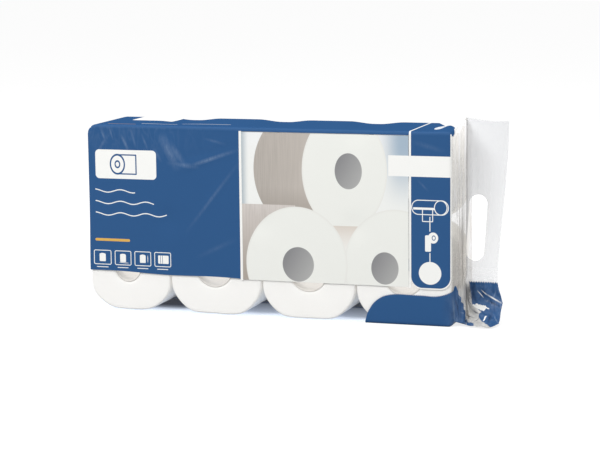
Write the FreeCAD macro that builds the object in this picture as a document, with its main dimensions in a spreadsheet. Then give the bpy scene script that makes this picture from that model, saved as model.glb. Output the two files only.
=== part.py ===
import FreeCAD, Part
import math
import os
import Sketcher

# Toilet paper roll pack: eight rolls, four across and two high, with their axes along Y,
# in one bag of clear printed film. X runs along the pack and Z is up, in millimetres.
# The origin is the middle of the base, under the block of rolls.

doc = FreeCAD.newDocument("roll_pack")
sizes = doc.addObject("Spreadsheet::Sheet", "sizes")

# Whole pack
sizes.set("A1", "from the closed end to the outer corner of the handle")
sizes.set("B1", "507.0")
sizes.setAlias("B1", "pack_length")
sizes.set("A2", "from the base to the highest corner of the handle")
sizes.set("B2", "238.2")
sizes.setAlias("B2", "pack_height")

# Rolls and cores
sizes.set("A3", "rolls side by side")
sizes.set("B3", "4")
sizes.setAlias("B3", "columns")
sizes.set("A4", "rolls above each other")
sizes.set("B4", "2")
sizes.setAlias("B4", "layers")
sizes.set("A5", "width of the squeezed column at the closed end")
sizes.set("B5", "102.0")
sizes.setAlias("B5", "column_end")
sizes.set("A6", "width of the paper, the length of a roll")
sizes.set("B6", "99.0")
sizes.setAlias("B6", "sheet_width")
sizes.set("A7", "space between neighbouring rolls")
sizes.set("B7", "0.3")
sizes.setAlias("B7", "roll_gap")
sizes.set("A8", "flat that a neighbour presses into a roll")
sizes.set("B8", "52.0")
sizes.setAlias("B8", "contact_flat")
sizes.set("A9", "the same flat on a roll of the squeezed column")
sizes.set("B9", "42.0")
sizes.setAlias("B9", "contact_flat_end")
sizes.set("A10", "rounding from each flat into the round of the roll")
sizes.set("B10", "14.0")
sizes.setAlias("B10", "flat_blend")
sizes.set("A11", "inside of a round core")
sizes.set("B11", "45.0")
sizes.setAlias("B11", "core_bore")
sizes.set("A12", "inside width of a squeezed core")
sizes.set("B12", "34.4")
sizes.setAlias("B12", "core_oval_wide")
sizes.set("A13", "inside height of a squeezed core")
sizes.set("B13", "41.4")
sizes.setAlias("B13", "core_oval_tall")
sizes.set("A14", "cardboard of the core")
sizes.set("B14", "1.0")
sizes.setAlias("B14", "core_wall")
sizes.set("A15", "space between core and paper")
sizes.set("B15", "0.15")
sizes.setAlias("B15", "core_fit")
sizes.set("A16", "radius at which the visible line between turns starts")
sizes.set("B16", "27.0")
sizes.setAlias("B16", "turn_start")
sizes.set("A17", "how far that line moves out in a turn")
sizes.set("B17", "14.0")
sizes.setAlias("B17", "turn_pitch")
sizes.set("A18", "turns of that line in each end")
sizes.set("B18", "1.25")
sizes.setAlias("B18", "turns")
sizes.set("A19", "width of the line")
sizes.set("B19", "0.9")
sizes.setAlias("B19", "turn_width")
sizes.set("A20", "depth of the line")
sizes.set("B20", "0.5")
sizes.setAlias("B20", "turn_depth")
sizes.set("A21", "step where the last sheet ends")
sizes.set("B21", "1.6")
sizes.setAlias("B21", "tail_width")
sizes.set("A22", "place of that step round the roll, in degrees")
sizes.set("B22", "52.0")
sizes.setAlias("B22", "tail_angle")

# Film
sizes.set("A23", "thickness of one layer of film")
sizes.set("B23", "0.4")
sizes.setAlias("B23", "film_wall")
sizes.set("A24", "space between the rolls and the film round them")
sizes.set("B24", "0.3")
sizes.setAlias("B24", "film_slack")
sizes.set("A25", "space between the ends of the rolls and the film")
sizes.set("B25", "0.85")
sizes.setAlias("B25", "face_slack")
sizes.set("A26", "width of the folds along the long edges")
sizes.set("B26", "1.4")
sizes.setAlias("B26", "film_edge")
sizes.set("A27", "lower corner at the closed end, round the roll")
sizes.set("B27", "26.0")
sizes.setAlias("B27", "corner_low")
sizes.set("A28", "upper corner at the closed end")
sizes.set("B28", "12.0")
sizes.setAlias("B28", "corner_high")
sizes.set("A29", "lap seam along the back")
sizes.set("B29", "12.0")
sizes.setAlias("B29", "seam_width")
sizes.set("A30", "height of that seam")
sizes.set("B30", "62.0")
sizes.setAlias("B30", "seam_height")
sizes.set("A31", "welded fin, folded flat on the closed end")
sizes.set("B31", "14.0")
sizes.setAlias("B31", "fin_width")
sizes.set("A32", "distance from the fin to the top and bottom")
sizes.set("B32", "9.0")
sizes.setAlias("B32", "fin_margin")
sizes.set("A33", "height of the tucks at both ends")
sizes.set("B33", "50.0")
sizes.setAlias("B33", "gusset_drop")

# Gathered end and handle
sizes.set("A34", "distance from the rolls to the root of the handle")
sizes.set("B34", "4.0")
sizes.setAlias("B34", "gather_reach")
sizes.set("A35", "pleats in each half of the gathered end")
sizes.set("B35", "5")
sizes.setAlias("B35", "gather_folds")
sizes.set("A36", "depth of the pleats")
sizes.set("B36", "1.1")
sizes.setAlias("B36", "gather_depth")
sizes.set("A37", "how far the handle rises above the film on the rolls")
sizes.set("B37", "12.1")
sizes.setAlias("B37", "handle_rise")
sizes.set("A38", "depth of the dip in its upper edge")
sizes.set("B38", "4.0")
sizes.setAlias("B38", "handle_dip")
sizes.set("A39", "place of that dip")
sizes.set("B39", "38.1")
sizes.setAlias("B39", "handle_dip_reach")
sizes.set("A40", "how far its outer corner is lower than its root")
sizes.set("B40", "3.2")
sizes.setAlias("B40", "handle_fall")
sizes.set("A41", "reach of that corner beyond the rolls")
sizes.set("B41", "55.5")
sizes.setAlias("B41", "handle_reach")
sizes.set("A42", "reach beside the upper end of the slot")
sizes.set("B42", "51.2")
sizes.setAlias("B42", "handle_hip_reach")
sizes.set("A43", "height of that place")
sizes.set("B43", "159.9")
sizes.setAlias("B43", "handle_hip_height")
sizes.set("A44", "reach at the narrowest place")
sizes.set("B44", "42.2")
sizes.setAlias("B44", "handle_waist_reach")
sizes.set("A45", "upper end of the narrowest place")
sizes.set("B45", "66.0")
sizes.setAlias("B45", "handle_waist_high")
sizes.set("A46", "lower end of the narrowest place")
sizes.set("B46", "45.8")
sizes.setAlias("B46", "handle_waist_low")
sizes.set("A47", "reach of the folded elbow")
sizes.set("B47", "49.7")
sizes.setAlias("B47", "elbow_reach")
sizes.set("A48", "height of the elbow")
sizes.set("B48", "21.2")
sizes.setAlias("B48", "elbow_height")
sizes.set("A49", "reach of the tail where it meets the floor")
sizes.set("B49", "37.0")
sizes.setAlias("B49", "tail_reach")
sizes.set("A50", "how far the tail curls forward where it meets the floor")
sizes.set("B50", "30.0")
sizes.setAlias("B50", "tail_curl")
sizes.set("A51", "depth of the folds in the tail")
sizes.set("B51", "3.5")
sizes.setAlias("B51", "tail_ripple")
sizes.set("A52", "middle of the hand slot, beyond the rolls")
sizes.set("B52", "17.0")
sizes.setAlias("B52", "slot_middle")
sizes.set("A53", "height of the middle of the slot")
sizes.set("B53", "109.5")
sizes.setAlias("B53", "slot_height")
sizes.set("A54", "width of the slot")
sizes.set("B54", "21.5")
sizes.setAlias("B54", "slot_wide")
sizes.set("A55", "height of the slot, end to end")
sizes.set("B55", "78.5")
sizes.setAlias("B55", "slot_tall")
sizes.set("A56", "lean of the slot, in degrees")
sizes.set("B56", "4.0")
sizes.setAlias("B56", "slot_lean")
doc.recompute()


def value(alias):
    """Read a driving dimension back from the sheet."""
    return float(sizes.get(alias))


def doc_value(expression):
    """Work out an expression on the sheet, for the starting value of a dimension."""
    return float(sizes.evalExpression(expression.replace("sizes.", "")))


# Lengths that several pieces share, as expressions on the sheet
SKIN = "(sizes.film_wall + sizes.film_slack)"
BLOCK_LONG = "(sizes.pack_length - sizes.handle_reach - %s - 2 * sizes.film_wall)" % SKIN
HALF_LONG = "(%s / 2)" % BLOCK_LONG
COLUMN_WIDE = "((%s - sizes.column_end) / (sizes.columns - 1))" % BLOCK_LONG
PACK_TOP = "(sizes.pack_height - sizes.handle_rise)"
LAYER_TALL = "((%s - 2 * %s + sizes.roll_gap) / sizes.layers)" % (PACK_TOP, SKIN)
HALF_DEEP = "(sizes.sheet_width / 2 + sizes.face_slack + sizes.film_wall)"

# Their present values, for the pieces that are drawn point by point
end_x = doc_value(HALF_LONG)
skin = doc_value(SKIN)
pack_top = doc_value(PACK_TOP)
half_deep = doc_value(HALF_DEEP)
end_plane = end_x + skin
HANDLE_STEPS = 5
TURN_STEPS = 12


def new_body(name):
    body = doc.addObject("PartDesign::Body", name)
    body.Label = name
    return body


def new_sketch(body, name, role, offset=None):
    """Attach a sketch to one of the body's own origin planes, moved along its normal."""
    sketch = body.newObject("Sketcher::SketchObject", name)
    plane = [feature for feature in body.Origin.OriginFeatures if feature.Role == role][0]
    sketch.AttachmentSupport = [(plane, "")]
    sketch.MapMode = "FlatFace"
    if offset:
        sketch.setExpression("AttachmentOffset.Base.z", offset)
    return sketch


def dimension(sketch, kind, name, expression, *points):
    """Add a named dimension and bind it to the sheet."""
    start = doc_value(expression)
    index = sketch.addConstraint(Sketcher.Constraint(kind, *points, start))
    sketch.renameConstraint(index, name)
    sketch.setExpression("Constraints." + name, expression)


def pin(sketch, name, geometry, end, across, up):
    """Place one point of a sketch by its distances from the origin."""
    for kind, axis, expression in (("DistanceX", -2, across), ("DistanceY", -1, up)):
        if expression == "0":
            sketch.addConstraint(Sketcher.Constraint("PointOnObject", geometry, end, axis))
        else:
            dimension(sketch, kind, name + kind[-1], expression, -1, 1, geometry, end)


def closed_lines(sketch, corners):
    """Draw a closed outline through named corners, each (name, across, up)."""
    spots = [FreeCAD.Vector(doc_value(a), doc_value(u), 0) for _, a, u in corners]
    lines = []
    for here, there in zip(spots, spots[1:] + spots[:1]):
        lines.append(sketch.addGeometry(Part.LineSegment(here, there)))
    for line, following in zip(lines, lines[1:] + lines[:1]):
        sketch.addConstraint(Sketcher.Constraint("Coincident", line, 2, following, 1))
    for line, (name, across, up) in zip(lines, corners):
        pin(sketch, name, line, 1, across, up)
    return lines


def pad_through(body, sketch, name, length):
    """Pad a sketch to both sides of its plane."""
    pad = body.newObject("PartDesign::Pad", name)
    pad.Profile = sketch
    pad.SideType = "Symmetric"
    pad.setExpression("Length", length)
    doc.recompute()
    return pad


def soften(body, kind, name, base, chosen, amount):
    """Fillet or chamfer the edges for which chosen(edge) is true."""
    names = ["Edge%d" % (i + 1) for i, edge in enumerate(base.Shape.Edges) if chosen(edge)]
    feature = body.newObject("PartDesign::" + kind, name)
    feature.Base = (base, names)
    feature.setExpression("Radius" if kind == "Fillet" else "Size", amount)
    doc.recompute()
    return feature


def along_y(edge):
    """True for a straight edge that runs front to back."""
    if not isinstance(edge.Curve, (Part.Line, Part.LineSegment)):
        return False
    direction = edge.tangentAt(edge.FirstParameter)
    return abs(abs(direction.y) - 1) < 1e-6


def squeezed_outline(sketch, wide, tall, radius):
    """Draw a round roll pressed flat on four sides: four arcs about the middle, four flats."""
    half_w = doc_value(wide) / 2
    half_t = doc_value(tall) / 2
    r = doc_value(radius)
    side = math.sqrt(r * r - half_w * half_w)
    foot = math.sqrt(r * r - half_t * half_t)
    corners = [(-foot, -half_t), (foot, -half_t), (half_w, -side), (half_w, side),
               (foot, half_t), (-foot, half_t), (-half_w, side), (-half_w, -side)]
    spots = [FreeCAD.Vector(x, z, 0) for x, z in corners]
    middle = FreeCAD.Vector(0, 0, 0)
    up = FreeCAD.Vector(0, 0, 1)
    pieces = []
    for i in range(0, 8, 2):
        pieces.append(sketch.addGeometry(Part.LineSegment(spots[i], spots[i + 1])))
        start = math.atan2(spots[i + 1].y, spots[i + 1].x)
        stop = math.atan2(spots[(i + 2) % 8].y, spots[(i + 2) % 8].x)
        circle = Part.Circle(middle, up, r)
        pieces.append(sketch.addGeometry(Part.ArcOfCircle(circle, start, stop)))
    for piece, following in zip(pieces, pieces[1:] + pieces[:1]):
        sketch.addConstraint(Sketcher.Constraint("Coincident", piece, 2, following, 1))
    for arc in pieces[1::2]:
        sketch.addConstraint(Sketcher.Constraint("Coincident", arc, 3, -1, 1))
    for arc in pieces[3::2]:
        sketch.addConstraint(Sketcher.Constraint("Equal", pieces[1], arc))
    dimension(sketch, "Radius", "round", radius, pieces[1])
    for line in (pieces[0], pieces[4]):
        sketch.addConstraint(Sketcher.Constraint("Horizontal", line))
    for line in (pieces[2], pieces[6]):
        sketch.addConstraint(Sketcher.Constraint("Vertical", line))
    dimension(sketch, "DistanceY", "foot", "-(%s) / 2" % tall, -1, 1, pieces[0], 1)
    dimension(sketch, "DistanceX", "right", "(%s) / 2" % wide, -1, 1, pieces[2], 1)
    dimension(sketch, "DistanceY", "head", "(%s) / 2" % tall, -1, 1, pieces[4], 1)
    dimension(sketch, "DistanceX", "left", "-(%s) / 2" % wide, -1, 1, pieces[6], 1)


def slot_outline(sketch, name, wide, tall):
    """Draw an upright slot about the origin: two half circles and two sides, or a circle."""
    r = doc_value(wide) / 2
    up = FreeCAD.Vector(0, 0, 1)
    if wide == tall:
        circle = sketch.addGeometry(Part.Circle(FreeCAD.Vector(0, 0, 0), up, r))
        sketch.addConstraint(Sketcher.Constraint("Coincident", circle, 3, -1, 1))
        dimension(sketch, "Diameter", name, wide, circle)
        return
    rise = "(%s - (%s)) / 2" % (tall, wide)
    half = doc_value(rise)
    upper = Part.Circle(FreeCAD.Vector(0, half, 0), up, r)
    lower = Part.Circle(FreeCAD.Vector(0, -half, 0), up, r)
    left = [FreeCAD.Vector(-r, half, 0), FreeCAD.Vector(-r, -half, 0)]
    right = [FreeCAD.Vector(r, -half, 0), FreeCAD.Vector(r, half, 0)]
    pieces = [sketch.addGeometry(Part.ArcOfCircle(upper, 0, math.pi)),
              sketch.addGeometry(Part.LineSegment(*left)),
              sketch.addGeometry(Part.ArcOfCircle(lower, math.pi, 2 * math.pi)),
              sketch.addGeometry(Part.LineSegment(*right))]
    for piece, following in zip(pieces, pieces[1:] + pieces[:1]):
        sketch.addConstraint(Sketcher.Constraint("Tangent", piece, 2, following, 1))
    pin(sketch, name + "Upper", pieces[0], 3, "0", rise)
    pin(sketch, name + "Lower", pieces[2], 3, "0", "-" + rise)
    dimension(sketch, "Radius", name + "Round", "(%s) / 2" % wide, pieces[0])


def fixed_lines(sketch, spots):
    """Draw a closed outline through worked-out points, and hold it there."""
    count = len(spots)
    for here, there in zip(spots, spots[1:] + spots[:1]):
        sketch.addGeometry(Part.LineSegment(here, there))
    for line in range(count):
        following = (line + 1) % count
        sketch.addConstraint(Sketcher.Constraint("Coincident", line, 2, following, 1))
        sketch.addConstraint(Sketcher.Constraint("Block", line))


def at_angle(radius, angle):
    return FreeCAD.Vector(radius * math.cos(angle), radius * math.sin(angle), 0)


def turn_line(body, name, offset, into_front):
    """Press the line between two turns into one end: a spiral that grows by one pitch a turn."""
    sketch = new_sketch(body, name + "_line", "XZ_Plane", offset)
    steps = round(value("turns") * TURN_STEPS)
    half = value("turn_width") / 2
    inner = []
    outer = []
    for i in range(steps + 1):
        share = i / TURN_STEPS
        radius = value("turn_start") + value("turn_pitch") * share
        inner.append(at_angle(radius - half, 2 * math.pi * share))
        outer.append(at_angle(radius + half, 2 * math.pi * share))
    fixed_lines(sketch, outer + inner[::-1])
    pocket = body.newObject("PartDesign::Pocket", name)
    pocket.Profile = sketch
    pocket.setExpression("Length", "sizes.turn_depth")
    pocket.Reversed = not into_front
    doc.recompute()


def tail_step(body, radius):
    """Cut the small step in which the last sheet ends, along the whole roll."""
    sketch = new_sketch(body, "tail_outline", "XZ_Plane")
    angle = math.radians(value("tail_angle"))
    width = value("tail_width")
    beyond = doc_value(radius) + width
    onward = at_angle(width, angle + math.pi / 2)
    outward = at_angle(beyond, angle)
    fixed_lines(sketch, [at_angle(beyond - width - value("turn_depth"), angle), outward,
                         outward + onward])
    pocket = body.newObject("PartDesign::Pocket", "tail")
    pocket.Profile = sketch
    pocket.Type = "ThroughAll"
    pocket.SideType = "Symmetric"
    doc.recompute()


def paper_roll(name, wide, flat, bore_wide, bore_tall, across, up):
    """Wind one roll of paper: an outline pressed flat by its neighbours, with an open core."""
    body = new_body(name)
    width = "%s - sizes.roll_gap" % wide
    height = LAYER_TALL + " - sizes.roll_gap"
    radius = "sqrt(max(%s; %s)^2 + %s^2) / 2" % (width, height, flat)
    add = "2 * (sizes.core_wall + sizes.core_fit)"
    sketch = new_sketch(body, "outline", "XZ_Plane")
    squeezed_outline(sketch, width, height, radius)
    slot_outline(sketch, "bore", "%s + %s" % (bore_wide, add), "%s + %s" % (bore_tall, add))
    pad = pad_through(body, sketch, "winding", "sizes.sheet_width")
    reach = doc_value(radius)

    def at_flat(edge):
        if not along_y(edge):
            return False
        spot = edge.Vertexes[0].Point
        return abs(math.hypot(spot.x, spot.z) - reach) < 0.01

    soften(body, "Fillet", "flat_rounding", pad, at_flat, "sizes.flat_blend")
    tail_step(body, radius)
    turn_line(body, "turns_front", "sizes.sheet_width / 2", True)
    turn_line(body, "turns_back", "-sizes.sheet_width / 2", False)
    body.setExpression("Placement.Base.x", across)
    body.setExpression("Placement.Base.z", up)
    return body


def cardboard_core(name, bore_wide, bore_tall, across, up):
    """Roll one cardboard core, round or squeezed with its roll."""
    body = new_body(name)
    sketch = new_sketch(body, "ring", "XZ_Plane")
    add = "2 * sizes.core_wall"
    slot_outline(sketch, "inside", bore_wide, bore_tall)
    slot_outline(sketch, "outside", "%s + %s" % (bore_wide, add), "%s + %s" % (bore_tall, add))
    pad_through(body, sketch, "tube", "sizes.sheet_width")
    body.setExpression("Placement.Base.x", across)
    body.setExpression("Placement.Base.z", up)
    return body


def film_block(name, inset, right):
    """Make the block that the film encloses, smaller all round by inset, up to X = right."""
    body = new_body(name)
    sketch = new_sketch(body, "outline", "XZ_Plane")
    left = "-(%s + %s - %s)" % (HALF_LONG, SKIN, inset)
    high = "%s - %s" % (PACK_TOP, inset)
    closed_lines(sketch, [("lowLeft", left, inset), ("lowRight", right, inset),
                          ("highRight", right, high), ("highLeft", left, high)])
    pad = pad_through(body, sketch, "block", "2 * (%s - %s)" % (HALF_DEEP, inset))
    middle = pack_top / 2
    deep = half_deep - doc_value(inset)

    def lower_left(edge):
        return along_y(edge) and edge.CenterOfMass.x < 0 and edge.CenterOfMass.z < middle

    def upper_left(edge):
        return along_y(edge) and edge.CenterOfMass.x < 0 and edge.CenterOfMass.z > middle

    def long_edge(edge):
        box = edge.BoundBox
        return box.YLength < 1e-6 and abs(abs(box.YMin) - deep) < 1e-6

    low = soften(body, "Fillet", "round_low", pad, lower_left, "sizes.corner_low - " + inset)
    high = soften(body, "Fillet", "round_high", low, upper_left, "sizes.corner_high - " + inset)
    soften(body, "Chamfer", "long_folds", high, long_edge, "sizes.film_edge - " + inset)
    return body


def end_section(level, curl, ripple):
    """Outline of the gathered end at one height, as a closed band one layer thick.

    Each half runs round the corner of the pack and in pleats, which rise and fall by
    gather_depth, to the root on the middle line. From the root the two halves run on
    together as the handle, which curls forward by curl and waves by ripple."""
    wall = value("film_wall")
    folds = int(value("gather_folds"))
    edge = value("film_edge")
    root = end_x + value("gather_reach")
    outer = [(end_plane - edge, half_deep), (end_plane, half_deep - edge)]
    inner = [(end_plane - edge, half_deep - wall), (end_plane - wall, half_deep - edge)]
    for i in range(1, 2 * folds):
        share = i / (2 * folds)
        rise = value("gather_depth") * (i % 2) * math.sin(math.pi * share)
        line = end_plane + (root - end_plane) * share + rise
        spread = (half_deep - edge) * (1 - share)
        outer.append((line, spread))
        inner.append((line - wall, spread))
    reach = value("handle_reach") - value("gather_reach") + wall
    handle = []
    for i in range(HANDLE_STEPS + 1):
        share = i / HANDLE_STEPS
        sway = -curl * share * (2 - share) + ripple * math.sin(3 * math.pi * share)
        handle.append((root + share * reach, sway))
    points = [(x, -y) for x, y in outer]
    points += [(x, y - wall) for x, y in handle]
    points += [(x, y + wall) for x, y in handle[::-1]]
    points += outer[::-1] + inner
    points += [(x, -y) for x, y in inner[::-1]]
    wire = doc.addObject("Part::Polygon", "end_section")
    wire.Nodes = [FreeCAD.Vector(x, y, level) for x, y in points]
    wire.Close = True
    return wire


def end_closure():
    """Gather the open end of the film into the handle, and cut its outline and hand slot."""
    curl = value("tail_curl")
    ripple = value("tail_ripple")
    top = value("pack_height") + value("film_edge")
    sections = [end_section(0.0, curl, ripple),
                end_section(value("elbow_height"), curl * 0.4, ripple),
                end_section(value("handle_waist_high"), 0.0, 0.0),
                end_section(top, 0.0, 0.0)]
    loft = doc.addObject("Part::Loft", "gathers")
    loft.Sections = sections
    loft.Solid = True
    loft.Ruled = True

    side = new_body("handle_outline")
    sketch = new_sketch(side, "outline", "XZ_Plane")
    edge = "%s + %s - sizes.film_edge" % (HALF_LONG, SKIN)
    corners = [
        ("foot", edge, "0"),
        ("tail", HALF_LONG + " + sizes.tail_reach", "0"),
        ("elbow", HALF_LONG + " + sizes.elbow_reach", "sizes.elbow_height"),
        ("waistLow", HALF_LONG + " + sizes.handle_waist_reach", "sizes.handle_waist_low"),
        ("waistHigh", HALF_LONG + " + sizes.handle_waist_reach", "sizes.handle_waist_high"),
        ("hip", HALF_LONG + " + sizes.handle_hip_reach", "sizes.handle_hip_height"),
        ("outer", HALF_LONG + " + sizes.handle_reach", "sizes.pack_height - sizes.handle_fall"),
        ("dip", HALF_LONG + " + sizes.handle_dip_reach", "sizes.pack_height - sizes.handle_dip"),
        ("inner", HALF_LONG + " + sizes.gather_reach", "sizes.pack_height"),
        ("shoulder", edge, PACK_TOP)]
    closed_lines(sketch, corners)
    pad_through(side, sketch, "outline_block", "3 * " + HALF_DEEP)

    slot = new_body("hand_slot")
    sketch = new_sketch(slot, "outline", "XZ_Plane")
    slot_outline(sketch, "slot", "sizes.slot_wide", "sizes.slot_tall")
    pad_through(slot, sketch, "slot_block", "sizes.sheet_width")
    slot.setExpression("Placement.Base.x", HALF_LONG + " + sizes.slot_middle")
    slot.setExpression("Placement.Base.z", "sizes.slot_height")
    slot.Placement.Rotation = FreeCAD.Rotation(FreeCAD.Vector(0, 1, 0), value("slot_lean"))

    trimmed = doc.addObject("Part::Common", "trimmed_end")
    trimmed.Base = loft
    trimmed.Tool = side
    closure = doc.addObject("Part::Cut", "end_closure")
    closure.Base = trimmed
    closure.Tool = slot
    return closure


def tuck(name, edge_z, drop):
    """Fold one tuck: a triangle of film from the end of a panel to a point at the root."""
    wall = value("film_wall")
    half = half_deep - value("film_edge")
    base_x = end_plane - wall / 2
    tip_x = end_x + value("gather_reach") - wall / 4
    wire = doc.addObject("Part::Polygon", name + "_outline")
    wire.Nodes = [FreeCAD.Vector(base_x, -half, edge_z), FreeCAD.Vector(base_x, half, edge_z),
                  FreeCAD.Vector(tip_x, 0, edge_z + drop)]
    wire.Close = True
    plate = doc.addObject("Part::Extrusion", name)
    plate.Base = wire
    plate.Dir = FreeCAD.Vector(-1, 0, 0)
    plate.LengthFwd = wall
    plate.Solid = True
    return plate


def closed_fold(name, edge_z, tip_z):
    """Fold one triangle of the closed end, which lies flat against its wall."""
    body = new_body(name)
    sketch = new_sketch(body, "triangle", "YZ_Plane")
    half = "(%s - 2 * sizes.film_edge)" % HALF_DEEP
    closed_lines(sketch, [("left", "-" + half, edge_z), ("right", half, edge_z),
                          ("tip", "0", tip_z)])
    pad = pad_through(body, sketch, "layer", "2 * sizes.film_wall")
    pad.Refine = True
    body.setExpression("Placement.Base.x", "-(%s + %s)" % (HALF_LONG, SKIN))
    return body


def film_wrap():
    """Make the film as one piece: sleeve, folded end, lap seam, tucks, gathers and handle."""
    wall = value("film_wall")
    drop = value("gusset_drop")
    outer = film_block("film_outside", "0", "%s + %s" % (HALF_LONG, SKIN))
    inner = film_block("film_inside", "sizes.film_wall", HALF_LONG + " + 2 * sizes.film_edge")
    sleeve = doc.addObject("Part::Cut", "sleeve")
    sleeve.Base = outer
    sleeve.Tool = inner

    fin = doc.addObject("Part::Box", "fin")
    fin.setExpression("Length", "3 * sizes.film_wall")
    fin.setExpression("Width", "sizes.fin_width")
    fin.setExpression("Height", "%s - 2 * (sizes.corner_low + sizes.fin_margin)" % PACK_TOP)
    fin.setExpression("Placement.Base.x", "-(%s + %s + 2 * sizes.film_wall)" % (HALF_LONG, SKIN))
    fin.setExpression("Placement.Base.z", "sizes.corner_low + sizes.fin_margin")
    seam = doc.addObject("Part::Box", "lap_seam")
    seam.setExpression("Length", "2 * %s - sizes.corner_low" % HALF_LONG)
    seam.setExpression("Width", "2 * sizes.film_wall")
    seam.setExpression("Height", "sizes.seam_width")
    seam.setExpression("Placement.Base.x", "-%s + sizes.corner_low" % HALF_LONG)
    seam.setExpression("Placement.Base.y", "%s - sizes.film_wall" % HALF_DEEP)
    seam.setExpression("Placement.Base.z", "sizes.seam_height")

    low = "sizes.corner_low"
    high = "(%s - sizes.corner_high)" % PACK_TOP
    whole = doc.addObject("Part::MultiFuse", "film_wrap")
    whole.Label = "film_wrap"
    whole.Shapes = [sleeve, end_closure(), fin, seam,
                    tuck("tuck_top", pack_top - wall / 2, -drop),
                    tuck("tuck_bottom", wall / 2, drop),
                    closed_fold("fold_low", low, low + " + sizes.gusset_drop"),
                    closed_fold("fold_high", high, high + " - sizes.gusset_drop")]
    whole.Refine = True
    doc.recompute()
    return whole


nodes = []
for layer in range(int(value("layers"))):
    row_name = "lower" if layer == 0 else "upper"
    up = "%s + %s * %s - sizes.roll_gap / 2" % (SKIN, LAYER_TALL, layer + 0.5)
    for column in range(int(value("columns"))):
        squeezed = column == 0
        wide = "sizes.column_end" if squeezed else COLUMN_WIDE
        flat = "sizes.contact_flat_end" if squeezed else "sizes.contact_flat"
        bore_wide = "sizes.core_oval_wide" if squeezed else "sizes.core_bore"
        bore_tall = "sizes.core_oval_tall" if squeezed else "sizes.core_bore"
        before = 0 if squeezed else column - 0.5
        across = "-%s + sizes.column_end + %s * %s" % (HALF_LONG, before, COLUMN_WIDE)
        if squeezed:
            across = "-%s + sizes.column_end / 2" % HALF_LONG
        tag = "%s_%d" % (row_name, column + 1)
        nodes.append(paper_roll("roll_" + tag, wide, flat, bore_wide, bore_tall, across, up))
        nodes.append(cardboard_core("core_" + tag, bore_wide, bore_tall, across, up))
nodes.append(film_wrap())
doc.recompute()

for item in doc.Objects:
    if "Invalid" in item.State or "Error" in item.State:
        raise RuntimeError("%s could not be built" % item.Label)
for node in nodes:
    if node.Shape.isNull() or not node.Shape.isValid():
        raise RuntimeError("%s has no valid shape" % node.Label)

os.makedirs("parts", exist_ok=True)
for node in nodes:
    node.Shape.exportStep("parts/%s.step" % node.Label)
    print(node.Label, len(node.Shape.Solids), "solid", round(node.Shape.Volume), "mm3")
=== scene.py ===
import math

import bmesh
import bpy
import numpy as np
from bpy.props import FloatProperty, FloatVectorProperty, IntProperty, PointerProperty
from mathutils import Matrix, Vector


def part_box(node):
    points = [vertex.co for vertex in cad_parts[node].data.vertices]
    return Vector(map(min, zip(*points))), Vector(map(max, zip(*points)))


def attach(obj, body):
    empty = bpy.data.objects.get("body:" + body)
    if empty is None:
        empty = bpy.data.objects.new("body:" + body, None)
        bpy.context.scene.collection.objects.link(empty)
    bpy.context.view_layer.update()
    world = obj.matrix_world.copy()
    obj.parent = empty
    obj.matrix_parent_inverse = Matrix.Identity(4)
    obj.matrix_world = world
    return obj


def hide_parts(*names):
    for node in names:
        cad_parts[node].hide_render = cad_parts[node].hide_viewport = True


bl_info = {
    "name": "Toilet paper roll pack",
    "version": (1, 0, 0),
    "blender": (4, 5, 0),
    "location": "View3D > Sidebar > Roll Pack",
    "description": "Dresses a pack of eight toilet paper rolls in printed film with a handle",
    "category": "Add Mesh",
}

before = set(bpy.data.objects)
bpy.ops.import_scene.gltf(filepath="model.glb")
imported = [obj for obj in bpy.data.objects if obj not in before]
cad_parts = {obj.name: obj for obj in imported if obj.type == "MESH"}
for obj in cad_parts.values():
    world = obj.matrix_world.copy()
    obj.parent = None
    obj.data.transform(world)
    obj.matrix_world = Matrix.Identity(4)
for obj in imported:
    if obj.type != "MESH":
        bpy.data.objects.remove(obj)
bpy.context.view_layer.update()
MM = 0.001

# Places of the film in millimetres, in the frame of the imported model
LEFT = -225.7
RIGHT = 225.7
HALF_DEEP = 50.75
TOP = 226.1
ROOT = 229.7
COLUMN_EDGES = (-123.0, -7.0, 109.0)
CURVE = 12.0

# Lower roll at the closed end: half its width and height, and the radius of its round
END_ROLL = (51.35, 56.4, 60.7)

# Where the handle starts on the flat film, along the pack from its closed end
HANDLE_START = 503.0


# ---------------------------------------------------------------- settings

def length_property(name, description, default, low, high, precision=4):
    return FloatProperty(name=name, description=description, default=default, min=low,
                         max=high, unit="LENGTH", precision=precision)


class PackSizes(bpy.types.PropertyGroup):
    film_wall: length_property("Film thickness", "Thickness that the film is drawn with",
                               0.0003, 0.0001, 0.001, 5)
    fold_radius: length_property("Fold radius", "Rounding of the film along the long edges",
                                 0.0034, 0.001, 0.01)
    grid_step: length_property("Film grid", "Distance between the grid lines of the film",
                               0.0035, 0.001, 0.02)
    sag: length_property("Sag", "How far the film sinks between two rolls on the top",
                         0.0026, 0.0, 0.006)
    pleat: length_property("Pleats", "Depth of the pleats in the gathered end",
                           0.0028, 0.0, 0.006)
    crumple: length_property("Crumple", "Depth of the folds in the tail of the handle",
                             0.0030, 0.0, 0.006)
    rim: length_property("Roll rim", "Rounding where the side of a roll meets its end",
                         0.0022, 0.0005, 0.006)
    roll_segments: IntProperty(name="Roll segments", description="Segments round each roll",
                               default=180, min=48, max=360)


def colour_property(name, description, default):
    return FloatVectorProperty(name=name, description=description, default=default,
                               subtype="COLOR", size=3, min=0.0, max=1.0)


def linear(red, green, blue):
    """Turn a colour of 0 to 255 a channel, as a screen shows it, into scene colour."""
    parts = np.array([red, green, blue]) / 255.0
    low = parts / 12.92
    high = ((parts + 0.055) / 1.055) ** 2.4
    return tuple(float(v) for v in np.where(parts <= 0.04045, low, high))


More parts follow.
